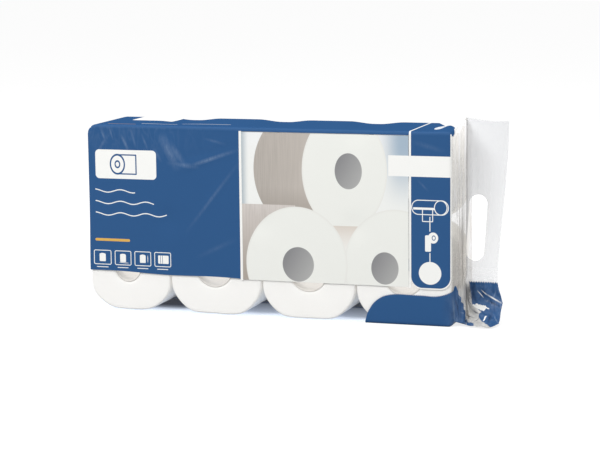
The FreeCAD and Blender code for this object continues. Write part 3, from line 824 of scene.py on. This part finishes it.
# Places on the flat film, in mm
PANEL_END = 193.0
WINDOW_END = 399.0
FRONT_TOP = 224.0
TEAR_LEFT = 346.0
TEAR_WIDE = 170.0

# Upper edge of the tear-off field: along and up
TEAR_EDGE = ((346.0, 0.0), (352.8, 18.2), (363.7, 29.4), (375.8, 34.1), (411.7, 34.9),
             (435.4, 35.2), (453.1, 43.0), (457.0, 47.5), (464.0, 40.0), (476.0, 26.0),
             (488.0, 12.0), (500.0, -6.0), (516.0, -30.0))

# Folds of the tail: start and end, width and softness
SILVER_FOLDS = ((502, 30, 509, 13.5, 6, 0.2), (508, 14.5, 518, 4, 6.5, 0.2),
                (518, 5, 513, -6, 6.5, 0.2), (514, -6, 498, -3, 7.5, 0.2))
# Painted shade in the folds of bare film
SILVER_SHADE = ((505, 26, 511.5, 13, 1.6, 0.8), (511, 9, 520, 0, 2, 0.8),
                (514, -2, 500, 0.5, 2.4, 0.8), (519, -3, 513, -9, 1.8, 0.8))
WHITE_FOLDS = ((521.7, 36.5, 529, 30.5, 2, 0.7), (527, 32, 546, 20.8, 2.6, 0.8),
               (517, 35.5, 524, 27, 1.3, 0.7), (528, 0, 523.5, -10, 2, 0.4))
# Painted shade in the hollows of the folds
PAINTED_FOLD_SHADE = ((530, 41, 517, 22, 3, 1), (524, 26, 547, 15, 4, 1), (534, 10, 528, -22, 5, 1),
              (470, 30, 500, 8, 6, 1), (455, 38, 470, 4, 5, 1), (484, 16, 500, -8, 5, 1))
# Painted highlights on the ridges of the folds
PAINTED_FOLD_HIGHLIGHTS = ((539, 36, 536, 26, 2.4, 1), (536, 6, 541, -14, 2.6, 1), (460, 40, 478, 24, 3, 1),
              (452, 34, 456, 6, 6, 1), (472, 14, 490, 2, 3, 1))

# Painted highlights on the creases: start and end, width, and strength
HIGHLIGHTS = (
    (17, 223, 24, 205, 4, 0.24), (29, 222, 33, 208, 3, 0.20), (44, 214, 52, 196, 5, 0.34),
    (56, 222, 62, 200, 4, 0.20), (70, 216, 78, 196, 4, 0.16), (86, 198, 94, 184, 5, 0.18),
    (96, 212, 114, 178, 14, 0.30), (107, 204, 122, 182, 11, 0.24),
    (104, 182, 140, 178, 8, 0.26), (126, 177, 190, 199, 6.5, 0.32),
    (124, 98, 194, 186, 6, 0.15), (150, 212, 176, 206, 5, 0.12), (12, 190, 26, 214, 5, 0.14),
    (140, 70, 186, 92, 8, 0.08), (410, 170, 422, 158, 4, 0.12), (405, 214, 440, 204, 8, 0.10))


def tear_field(film):
    """Blue field under a drawn curve, with a fine scallop that is the size of a sine."""
    node = film.node("ShaderNodeFloatCurve")
    curve = node.mapping.curves[0]
    points = [((x - TEAR_LEFT) / TEAR_WIDE, (z + 60.0) / 120.0) for x, z in TEAR_EDGE]
    curve.points[0].location = points[0]
    curve.points[1].location = points[-1]
    for spot in points[1:-1]:
        curve.points.new(*spot)
    node.mapping.update()
    film.fill(node, Value=film.ramp(film.along, TEAR_LEFT, TEAR_LEFT + TEAR_WIDE))
    top = film.ramp(node.outputs[0], 0.0, 1.0, -60.0, 60.0)
    scallop = film.both(film.size(film.sine(film.both(film.plus(film.along, film.up), 1.2))),
                        film.before(449.0, 6.0), 1.3)
    under = film.minus(film.plus(top, scallop), film.up)
    return film.both(film.after(TEAR_LEFT, 0.6), film.step(under, 0.0, 0.5),
                     film.before(512.0, 1.0))


def blue_fields(film, front, column):
    """Blue parts of the print: the panel by the closed end with its wavy lower edge, the
    column by the open end, the top and back, the tear-off field and the handle's tail."""
    along, up = film.along, film.up
    ripple = film.both(film.sine(film.math("DIVIDE", along, 21.0)), 0.7)
    low_edge = film.plus(film.ramp(along, 0.0, PANEL_END, 48.4, 45.4), ripple)
    panel = film.both(film.before(PANEL_END, 0.5), film.step(up, low_edge, 0.5), front)
    top_end = film.minus(film.ramp(up, 234.8, 327.6, 453.0, 410.0), along)
    over_top = film.either(
        film.both(film.step(top_end, 0.0, 0.8), film.band(up, 221.6, 328.0)),
        film.both(film.before(WINDOW_END, 0.5),
                  film.either(film.above(328.0, 0.4), film.below(-84.0, 0.5))))
    left = film.plus(film.ramp(up, -36.0, 12.0, 533.0, 512.0),
                     film.ramp(up, 12.0, 44.0, 0.0, -5.0))
    scallop = film.both(film.size(film.sine(film.both(along, 1.1))), 1.6)
    under = film.minus(film.plus(44.6, scallop), up)
    tail = film.both(film.step(along, left, 1.6), film.step(under, 0.0, 0.5))
    return film.either(panel, column, over_top, tear_field(film), tail)


def window_picture(film, place):
    """Colour of the picture in the window: three plain rolls, two of them seen aslant."""
    tone = colours()
    along, up = film.along, film.up
    picture = film.over(linear(240, 241, 238), film.above(215.0, 80.0), linear(233, 235, 238))
    tint = film.both(film.after(376.0, 30.0), film.above(168.0, 84.0))
    picture = film.over(picture, tint, linear(166, 184, 200))
    picture = film.over(picture, film.before(200.0, 11.0), linear(176, 187, 194))

    face_a = film.ovals(322.0, 178.0, 51.5, 70.0)
    face_b = film.ovals(263.0, 66.0, 62.5, 68.5)
    face_c = film.ovals(383.0, 66.0, 62.0, 69.0)
    far_a = film.oval(262.0, 178.0, 51.0, 67.0)
    run_a = film.box(262.0, 322.0, 111.0, 245.0)
    run_b = film.box(180.0, 262.0, -2.0, 136.0)
    fine = film.noise(film.stretched(place, (1.0, 1.0, 0.03)), 900.0, 2.0)
    lines = film.step(fine, 0.55, 0.5)
    toned = film.over(tone.side_print, lines, linear(171, 165, 158))
    toned = film.over(toned, film.ramp(along, 212.0, 275.0, 0.0, 0.5), linear(202, 194, 186))
    toned = film.over(toned, film.ramp(up, 158.0, 134.0, 0.0, 0.55), linear(160, 152, 144))
    side = film.both(film.either(far_a, run_a), film.without(face_a["Mask"]))
    picture = film.over(picture, side, toned)
    toned = film.over(linear(174, 165, 156), film.ramp(up, 60.0, 134.0), linear(212, 205, 200))
    toned = film.over(toned, film.both(lines, 0.3), linear(168, 161, 154))
    picture = film.over(picture, film.both(run_b, film.without(face_b["Mask"])), toned)

    nook = film.both(film.band(along, 303.0, 346.0), film.band(up, 60.0, 128.0, 1.0))
    picture = film.over(picture, nook, film.over(linear(240, 240, 236), film.ramp(
        up, 84.0, 112.0), linear(220, 212, 203)))
    for face, foot in ((face_a, 113.6), (face_c, 40.0), (face_b, 40.0)):
        rim = film.step(face["Out"], 0.975, 0.06)
        plain = film.over(tone.paper_print, film.both(rim, 0.6), linear(229, 228, 223))
        picture = film.over(picture, film.both(face["Mask"], film.above(foot, 0.8)), plain)
    for x, z, half_w, half_t in ((327.0, 178.0, 16.4, 21.0), (265.0, 66.0, 19.3, 20.6),
                                 (370.5, 65.7, 16.4, 19.0)):
        slant = film.minus(along, film.both(film.minus(up, z), 0.6))
        depth = film.ramp(slant, x - 20.0, x + 22.0)
        picture = film.over(picture, film.oval(x, z, half_w, half_t), film.over(
            linear(139, 139, 141), depth, linear(174, 174, 173)))
    return picture


def white_marks(film, front, column):
    """White parts of the print on the front, top and back: lines, bands, panels and signs."""
    along, up = film.along, film.up
    marks = [
        film.both(film.band(along, PANEL_END, 196.0), film.band(up, 44.0, 222.0)),
        film.both(film.band(along, 399.6, 401.8), film.band(up, 44.0, 553.0)),
        film.both(film.box(401.5, 449.9, 43.2, 300.0, 14.4), front, film.without(column)),
        film.box(375.0, 449.0, 174.0, 198.0)]
    for number in range(4):
        x = 6.4 + 25.73 * number
        marks.append(film.box(x, x + 20.6, 56.0, 73.0, 1.6, 0.45, "Edge"))
        if number < 3:
            marks.append(film.box(x + 6.5, x + 14.0, 59.5, 68.0, 1.0))
            marks.append(film.oval(x + 10.2, 68.0, 3.8, 1.6))
        marks.append(film.box(x + 3.0, x + 17.0, 52.2, 53.1))
    marks.append(film.stroke(37.0, 59.0, 50.0, 58.4, 0.9))
    marks.append(film.stroke(74.6, 60.0, 74.6, 69.0, 0.9))
    marks.append(film.both(film.box(88.0, 101.5, 59.5, 69.5, 1.0), film.without(
        film.strokes(((91.0, 58.0, 91.0, 71.0, 0.8), (93.5, 58.0, 93.5, 71.0, 0.8))))))
    for level, stop in ((146.0, 60.0), (132.0, 84.0), (118.0, 100.0)):
        wave = film.both(film.sine(film.math("DIVIDE", along, 5.2)), 1.7)
        rise = film.minus(film.minus(up, level), wave)
        marks.append(film.both(film.band(rise, -0.6, 0.6), film.band(along, 9.0, stop)))

    # Top and back
    rules = film.both(film.box(60.0, 150.0, 430.0, 462.0),
                      film.step(film.sine(film.both(up, 0.78)), 0.55, 0.3), 0.35)
    marks += [
        film.box(34.0, 86.0, 284.0, 325.0, 3.0),
        film.both(film.box(62.0, 108.0, 245.5, 248.5), 0.5),
        film.both(film.box(111.0, 173.0, 253.5, 256.5), 0.5),
        film.minus(film.box(50.0, 160.0, 380.0, 480.0, 6.0), rules),
        film.box(196.0, 380.0, 380.0, 480.0, 6.0, 0.9, "Edge")]

    # Signs in the column: a disc on a stem, a holder and a roll
    marks += [
        film.oval(424.4, 62.3, 13.3, 13.3),
        film.both(film.band(along, 423.7, 424.8), film.band(up, 75.0, 128.0),
                  film.without(film.band(up, 86.0, 111.0))),
        film.box(402.8, 446.0, 130.5, 147.0, 8.0, 0.5, "Edge"),
        film.oval(437.0, 138.8, 7.4, 8.2, 0.5, out="Edge"),
        film.box(404.5, 430.0, 136.0, 138.6, 0.4),
        film.box(415.5, 427.5, 122.5, 137.0, 0.6, 0.5, "Edge"),
        film.box(418.5, 425.5, 87.5, 106.5, 1.5),
        film.oval(428.0, 103.6, 6.0, 6.4)]
    return film.either(*marks)


def film_material():
    """Film with its print: blue fields, a picture of plain rolls, and clear film elsewhere."""
    tone = colours()
    material, film, shader = new_material("film_with_print", FilmBoard)
    along, up = film.along, film.up
    place = film.place()
    front = film.below(FRONT_TOP, 1.0)
    column = film.box(402.0, 448.3, 44.8, 260.0, 13.0)
    silver_fold = film.strokes(SILVER_FOLDS)
    blue = film.both(blue_fields(film, front, column), film.without(silver_fold))
    window = film.box(196.0, WINDOW_END, 45.0, 221.0)
    picture = window_picture(film, place)

    # Folds of the tail that show the back of the film
    wander = film.both(film.minus(film.noise(place, 260.0, 2.0), 0.5), 1.5)
    blotch = film.minus(film.oval(519.6, 13.4, 9.0, 4.4, out="Out"), wander)
    white_folds = film.either(film.strokes(WHITE_FOLDS), film.without(
        film.step(blotch, 1.0, 0.12)))

    badge = film.box(10.0, 88.0, 161.0, 196.0, 5.0)
    white = film.either(white_marks(film, front, column), badge, white_folds)
    badge_sign = film.either(
        film.oval(38.0, 178.5, 9.0, 11.5, 0.9, out="Edge"),
        film.oval(38.0, 178.5, 3.0, 3.9, 0.8, out="Edge"),
        film.both(film.box(38.0, 62.0, 167.0, 190.0, 0.0, 0.8, "Edge"),
                  film.without(film.oval(38.0, 178.5, 9.4, 11.9))))
    blue_again = film.either(film.both(badge, badge_sign),
                             film.oval(428.8, 103.6, 1.9, 2.5, 0.4, out="Edge"))
    amber = film.either(film.box(8.0, 52.0, 84.6, 87.8, 1.5),
                        film.both(film.box(22.0, 58.0, 237.0, 240.0), 0.4))

    # Creases of the film, and where it is crumpled
    crinkle = film.group("Film crinkle", Vector=place, Size=1.0, Stretch_along=1.0, Turn=0.5)
    upright = film.group("Film crinkle", Vector=place, Size=0.9, Stretch_along=2.6, Turn=0.08)
    end_folds = film.group("Film crinkle", Vector=film.stretched(film.chart(), (1.7, 0.16, 1.0)),
                           Size=1.0, Stretch_along=1.0, Turn=0.0)
    at_end = film.after(450.0, 8.0)
    handle = film.after(500.0, 10.0)
    end_only = film.both(at_end, film.without(handle))
    crumpled = film.both(film.after(446.0, 24.0), film.below(42.0, 16.0))
    high_left = film.both(film.before(120.0, 160.0), film.above(195.0, 70.0), front)

    # Ink with painted highlights and painted shade on the creases
    shine = film.either(*[film.both(film.stroke(*row[:5], 1.0), row[5]) for row in HIGHLIGHTS])
    shine = film.both(shine, film.ramp(film.noise(film.stretched(
        place, (1.0, 1.0, 0.4), (0.0, 0.35, 0.0)), 420.0, 2.0), 0.3, 0.7, 0.45, 1.0))
    # Painted highlights: faint streaks high on the left, a line along the top fold, crossings of
    # ridges in the crumple, and light streaks on the folds of the tail
    for more in (film.both(upright["Streak"], high_left, 0.05),
                 film.both(film.band(up, 222.5, 228.0, 3.0), 0.03),
                 film.both(crinkle["Sheen"], crumpled, 0.10),
                 film.both(film.strokes(PAINTED_FOLD_HIGHLIGHTS), 0.35)):
        shine = film.plus(shine, more)
    ink = film.over(tone.ink, shine, linear(164, 184, 208))
    # Painted shade in the hollows of the crumple and along the folds of the tail
    painted_crease_shade = film.either(film.both(crumpled, crinkle["Shade"], 0.5),
                       film.both(film.strokes(PAINTED_FOLD_SHADE), 0.75))
    ink = film.over(ink, painted_crease_shade, linear(20, 44, 82))
    # Grey of the folded film, with painted shade in the hollows of the crumple and along the folds
    silver_with_painted_shade = film.over(linear(214, 213, 210), crinkle["Shade"], linear(160, 160, 162))
    silver_with_painted_shade = film.over(silver_with_painted_shade, film.strokes(SILVER_SHADE), linear(128, 130, 136))

    # Clear film: milky, with painted shade low in the gathered end and between its pleats, and
    # painted shade over the gaps under the pack
    # Painted shade low in the gathered end
    low_end_shade = film.both(end_only, film.below(118.0, 50.0))
    high_end = film.both(end_only, film.above(196.0, 74.0))
    under_film = film.both(film.below(-2.0, 2.0), film.before(444.0, 6.0))
    depth = film.ramp(up, -8.0, -80.0)
    shallow = film.ramp(depth, 0.0, 0.35)
    # Where the painted shadow in the first gap between the rolls goes
    first_gap_shadow = film.both(film.before(112.0, 10.0), film.step(depth, 0.38, 0.5))
    root_line = film.both(film.band(along, 501.6, 504.2, 1.6), film.above(50.0, 10.0))
    # Painted shadow of the end wall along the left edge of the hand slot
    root_painted_shadow = film.stroke(503.9, 74.0, 504.3, 106.0, 1.3, 0.6)
    # Painted shade under the pack: pale blue near the front, greyer deeper in, nearly black in the
    # first gap
    below = film.over(linear(222, 230, 243), depth, linear(112, 121, 138))
    below = film.over(below, first_gap_shadow, linear(38, 46, 70))
    # Painted shade between the pleats of the gathered end: greyer film away from the ridges
    colour = film.over(tone.clear, film.both(end_only, film.without(end_folds["Streak"]), 0.7),
                       linear(222, 218, 211))
    for mask, paint in (
            (film.both(low_end_shade, 0.8), linear(190, 185, 178)), (under_film, below),
            (film.both(crumpled, at_end), silver_with_painted_shade), (root_line, linear(206, 206, 206)),
            (root_painted_shadow, linear(132, 130, 127)), (window, picture), (blue, ink),
            # The oval near the open end of the top is a painted highlight on the raised ear of the
            # film
            (white, tone.white), (film.both(film.oval(430.0, 268.0, 9.0, 25.0), 0.9),
                                  linear(238, 241, 244)),
            (blue_again, tone.ink), (amber, linear(222, 176, 92)), (silver_fold, silver_with_painted_shade)):
        colour = film.over(colour, mask, paint)

    # How much of the light the film stops
    veil = 0.03
    for more in (film.both(end_only, 0.12), film.both(end_folds["Streak"], end_only, 0.30),
                 film.both(high_end, 0.36), film.both(low_end_shade, 0.15),
                 film.both(under_film, first_gap_shadow, 0.05),
                 film.both(handle, film.ramp(up, 60.0, 200.0, 0.24, 0.50)),
                 film.both(film.either(root_line, root_painted_shadow), 0.3),
                 film.both(under_film, film.ramp(depth, 0.0, 0.35, 0.30, 0.93)),
                 film.both(crumpled, at_end, 0.4)):
        veil = film.plus(veil, more)
    veil = film.plus(veil, film.both(crumpled, crinkle["Streak"], 0.4), clamp=True)
    printed = film.either(window, blue, white, film.both(silver_fold, 0.92))

    # Painted glow: emission stands in for light that comes through the film from the paper behind
    # it, strongest high in the clear end, and for light and shade under the pack, nearly black in
    # the first gap
    clear_end = film.both(end_only, film.without(film.either(blue, white)))
    glow = film.over((0.03, 0.029, 0.028), high_end, (0.30, 0.295, 0.29))
    glow = film.over((0.0, 0.0, 0.0), clear_end, glow)
    under_painted_glow = film.over((0.50, 0.60, 0.76), shallow, (0.155, 0.175, 0.215))
    under_painted_glow = film.over(under_painted_glow, depth, (0.055, 0.07, 0.10))
    under_painted_glow = film.over(under_painted_glow, first_gap_shadow, (0.002, 0.004, 0.012))
    glow = film.over(glow, film.both(under_film, film.without(blue)), under_painted_glow)

    gloss = film.both(film.plus(0.08, film.both(crumpled, 0.5)),
                      film.without(film.band(up, 221.0, 333.0, 4.0)), film.without(under_film))
    height = film.both(crinkle["Height"], film.plus(0.06, film.both(crumpled, 0.8)),
                       film.without(end_only))
    height = film.plus(height, film.both(end_folds["Height"], end_only, 0.6))
    film.fill(shader, Base_Color=colour, Alpha=film.math("MAXIMUM", printed, veil),
              Emission_Color=glow, Roughness=0.34, IOR=1.5, Specular_IOR_Level=0.0,
              Coat_Weight=gloss, Coat_Roughness=0.28, Coat_IOR=1.5,
              Normal=film.bump(height, 0.5, 0.0006))
    let_painted_glow(material, shader)


def depth_in_roll(board, place):
    """Distance from the middle of the pack, from front to back, in mm."""
    return board.both(board.size(board.parts(place)["Y"]), 1000.0)


def tissue_material():
    """Soft paper: wound turns in the ends, fine embossing on the side, and a painted glow on the
    side, which stands in for light through the paper in the gaps between rolls.
    """
    material, board, shader = new_material("roll_tissue")
    place = board.place()
    turns = board.noise(board.stretched(board.chart(), (3.0, 900.0, 1.0)), 1.0, 3.0, 0.6)
    fibre = board.noise(place, 900.0, 3.0)
    cloud = board.noise(place, 30.0, 2.0)
    colour = board.over(colours().tissue, board.both(cloud, 0.06), linear(226, 222, 215))
    colour = board.over(colour, board.both(board.step(turns, 0.62, 0.2), 0.10),
                        linear(206, 202, 196))
    # Painted glow on the side of the roll, away from its ends
    glow = board.over((0.0, 0.0, 0.0), board.ramp(depth_in_roll(board, place), 50.0, 44.0),
                      (0.075, 0.073, 0.069))
    height = board.plus(board.both(turns, 0.7), board.both(fibre, 0.3))
    board.fill(shader, Base_Color=colour, Roughness=0.95, Emission_Color=glow,
               Specular_IOR_Level=0.2, Normal=board.bump(height, 0.3, 0.00012))
    let_painted_glow(material, shader)


def board_material():
    """Pale cardboard with fibres, and a painted glow that grows stronger deeper in the bore."""
    material, board, shader = new_material("core_cardboard")
    place = board.place()
    fibre = board.noise(board.stretched(place, (1.0, 0.25, 1.0)), 500.0, 3.0)
    off = depth_in_roll(board, place)
    colour = board.over(colours().board, board.both(board.step(fibre, 0.6, 0.2), 0.3),
                        linear(204, 197, 188))
    colour = board.over(colour, board.step(off, 49.3, 0.5), linear(150, 142, 132))
    # Painted glow, stronger deeper in the bore, stands in for light reaching into it
    glow = board.over((0.06, 0.059, 0.057), board.ramp(off, 49.0, 30.0), (0.34, 0.335, 0.33))
    board.fill(shader, Base_Color=colour, Roughness=0.85, Emission_Color=glow,
               Normal=board.bump(fibre, 0.2, 0.0002))
    let_painted_glow(material, shader)


# ---------------------------------------------------------------- operators

class PACK_OT_materials(bpy.types.Operator):
    """Make the node groups and the three materials"""
    bl_idname = "pack.materials"
    bl_label = "Materials"

    def execute(self, context):
        printed_box_group()
        printed_oval_group()
        streak_group()
        crinkle_group()
        film_material()
        tissue_material()
        board_material()
        return {"FINISHED"}


class PACK_OT_film(bpy.types.Operator):
    """Wrap the film round the rolls and gather its open end"""
    bl_idname = "pack.film"
    bl_label = "Film and gathered end"

    def execute(self, context):
        grids, flats = film_sleeve()
        piece = make_piece("film_wrapper", grids, flats, merge=0.01)
        add_wall(piece, sizes().film_wall, 1.0)
        finish_piece(piece, "film_with_print", "film_wrap")
        return {"FINISHED"}


class PACK_OT_handle(bpy.types.Operator):
    """Make the carrying handle with its hand slot and crumpled tail"""
    bl_idname = "pack.handle"
    bl_label = "Handle"

    def execute(self, context):
        inner, outer = slot_and_outline()
        share = np.linspace(0, 1, 72)[None, :, None]
        flat = inner[:, None] * (1 - share) + outer[:, None] * share
        points = handle_point(flat[..., 0], flat[..., 1])
        chart = flat + np.array([HANDLE_START - ROOT, 0.0])
        piece = make_piece("film_handle", [(points, True, False)], [chart], merge=0.01)
        add_wall(piece, sizes().film_wall, 0.0)
        finish_piece(piece, "film_with_print", "film_wrap")
        return {"FINISHED"}


# How far the bores of two rolls lie to the left of the middle, and the cores' fit, in mm
BORE_SHIFTS = {"lower_1": 3.0, "lower_2": 1.6}
CORE_GAP = 0.15
CORE_WALL = 1.0


class PACK_OT_rolls(bpy.types.Operator):
    """Wind the eight rolls and their cardboard cores"""
    bl_idname = "pack.rolls"
    bl_label = "Rolls and cores"

    def execute(self, context):
        tags = [(row, column) for row in ("lower", "upper") for column in range(1, 5)]
        for number, (row, column) in enumerate(tags, 1):
            tag = "%s_%d" % (row, column)
            low, high = [np.array(corner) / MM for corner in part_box("roll_" + tag)]
            centre = (low + high) / 2
            half = (high - low) / 2
            squeezed = column == 1
            shift = BORE_SHIFTS.get(tag, 0.0)
            if tag == "lower_1":
                centre[0] -= 0.6
                half[0] += 0.6
            flat = 21.0 if squeezed else 26.0
            bore_w, bore_t = (18.35, 21.85) if squeezed else (23.65, 23.65)
            points, chart = roll_grid(
                centre, half[0], half[2], half[1], math.hypot(max(half[0], half[2]), flat),
                bore_w, bore_t, shift, 2.2 + 1.3 * number, number)
            piece = make_piece("paper_" + tag, [(points, True, True)], [chart])
            finish_piece(piece, "roll_tissue", "roll_" + tag)
            points = core_grid(centre - np.array([shift, 0, 0]), bore_w - CORE_GAP,
                               bore_t - CORE_GAP, half[1] - 0.2, CORE_WALL, 20 + number)
            piece = make_piece("tube_" + tag, [(points, True, True)])
            finish_piece(piece, "core_cardboard", "core_" + tag)
        return {"FINISHED"}


def seen_directly(board):
    """1 for rays of the camera, of reflections and through clear film."""
    path = board.node("ShaderNodeLightPath").outputs
    return board.either(path["Is Camera Ray"], path["Is Glossy Ray"],
                        path["Is Transmission Ray"])


def chosen_shader(board, first, second):
    """The second shader where it is seen directly, the first for all other light."""
    made = board.node("ShaderNodeMixShader")
    board.put(made.inputs[0], seen_directly(board))
    board.put(made.inputs[1], first.outputs[0])
    board.put(made.inputs[2], second.outputs[0])
    return made.outputs[0]


def lamp(name, spot, width, power):
    data = bpy.data.lights.new(name, "AREA")
    data.shape = "SQUARE"
    data.size = width
    data.energy = power
    made = bpy.data.objects.new(name, data)
    made.location = spot
    aim = Vector((0, 0, 0.1)) - Vector(spot)
    made.rotation_euler = aim.to_track_quat("-Z", "Y").to_euler()
    bpy.context.scene.collection.objects.link(made)


class PACK_OT_stage(bpy.types.Operator):
    """Set the floor, the lights and the camera"""
    bl_idname = "pack.stage"
    bl_label = "Stage"

    def execute(self, context):
        scene = context.scene
        scene.view_settings.view_transform = "Standard"

        mesh = bpy.data.meshes.new("floor")
        mesh.from_pydata([(-9, -9, 0), (9, -9, 0), (9, 9, 0), (-9, 9, 0)], [], [(0, 1, 2, 3)])
        floor = bpy.data.objects.new("floor", mesh)
        scene.collection.objects.link(floor)
        material, board, shader = new_material("floor_white")
        board.fill(shader, Base_Color=(0.34, 0.34, 0.34), Roughness=0.9, Specular_IOR_Level=0.0)
        none, glow = [board.fill(board.node("ShaderNodeEmission"), Strength=strength)
                      for strength in (0.0, 0.78)]
        total = board.node("ShaderNodeAddShader")
        board.put(total.inputs[0], shader.outputs[0])
        board.put(total.inputs[1], chosen_shader(board, none, glow))
        out = node_of(material.node_tree, "OUTPUT_MATERIAL")
        board.fill(out, Surface=total.outputs[0])
        mesh.materials.append(material)

        world = bpy.data.worlds.new("studio")
        scene.world = world
        world.use_nodes = True
        board = Board(world.node_tree)
        soft = node_of(world.node_tree, "BACKGROUND")
        plain = board.node("ShaderNodeBackground")
        for made, strength in ((soft, 0.55), (plain, 1.0)):
            board.fill(made, Color=(1, 1, 1), Strength=strength)
        out = node_of(world.node_tree, "OUTPUT_WORLD")
        board.fill(out, Surface=chosen_shader(board, soft, plain))

        lamp("key", (-1.3, -2.2, 1.9), 1.5, 59.5)
        lamp("fill", (2.2, -1.2, 0.8), 1.6, 16.0)
        lamp("sky", (0.0, 0.3, 2.4), 2.0, 15.0)

        yaw, pitch, roll = (math.radians(v) for v in (17.847, 8.661, -0.621))
        ahead = Vector((-math.sin(yaw) * math.cos(pitch), math.cos(yaw) * math.cos(pitch),
                        -math.sin(pitch)))
        level = Vector((math.cos(yaw), math.sin(yaw), 0))
        rise = level.cross(ahead)
        right = level * math.cos(roll) + rise * math.sin(roll)
        upward = rise * math.cos(roll) - level * math.sin(roll)
        spot = Vector((0.025618, 0.0, 0.104850)) - ahead * 2.39728
        data = bpy.data.cameras.new("camera")
        data.lens = 120.0
        data.sensor_width = 36.0
        data.clip_end = 50.0
        camera = bpy.data.objects.new("camera", data)
        turn = Matrix((right, upward, -ahead)).transposed().to_4x4()
        camera.matrix_world = Matrix.Translation(spot) @ turn
        scene.collection.objects.link(camera)
        scene.camera = camera
        return {"FINISHED"}


class PACK_PT_panel(bpy.types.Panel):
    """Lists the steps that dress the pack"""
    bl_idname = "PACK_PT_panel"
    bl_label = "Roll Pack"
    bl_space_type = "VIEW_3D"
    bl_region_type = "UI"
    bl_category = "Roll Pack"

    def draw(self, context):
        for group in (context.scene.pack_sizes, context.scene.pack_colours):
            for name in group.__annotations__:
                self.layout.prop(group, name)
        for step in STEPS:
            self.layout.operator(step.bl_idname)


STEPS = (PACK_OT_materials, PACK_OT_film, PACK_OT_handle, PACK_OT_rolls, PACK_OT_stage)
CLASSES = (PackSizes, PackColours, *STEPS, PACK_PT_panel)


def register():
    for item in CLASSES:
        bpy.utils.register_class(item)
    bpy.types.Scene.pack_sizes = PointerProperty(type=PackSizes)
    bpy.types.Scene.pack_colours = PointerProperty(type=PackColours)


def unregister():
    del bpy.types.Scene.pack_colours
    del bpy.types.Scene.pack_sizes
    for item in reversed(CLASSES):
        bpy.utils.unregister_class(item)


def main():
    register()
    bpy.ops.pack.materials()
    bpy.ops.pack.film()
    bpy.ops.pack.handle()
    bpy.ops.pack.rolls()
    bpy.ops.pack.stage()
    bpy.context.view_layer.update()


if __name__ == "__main__":
    main()
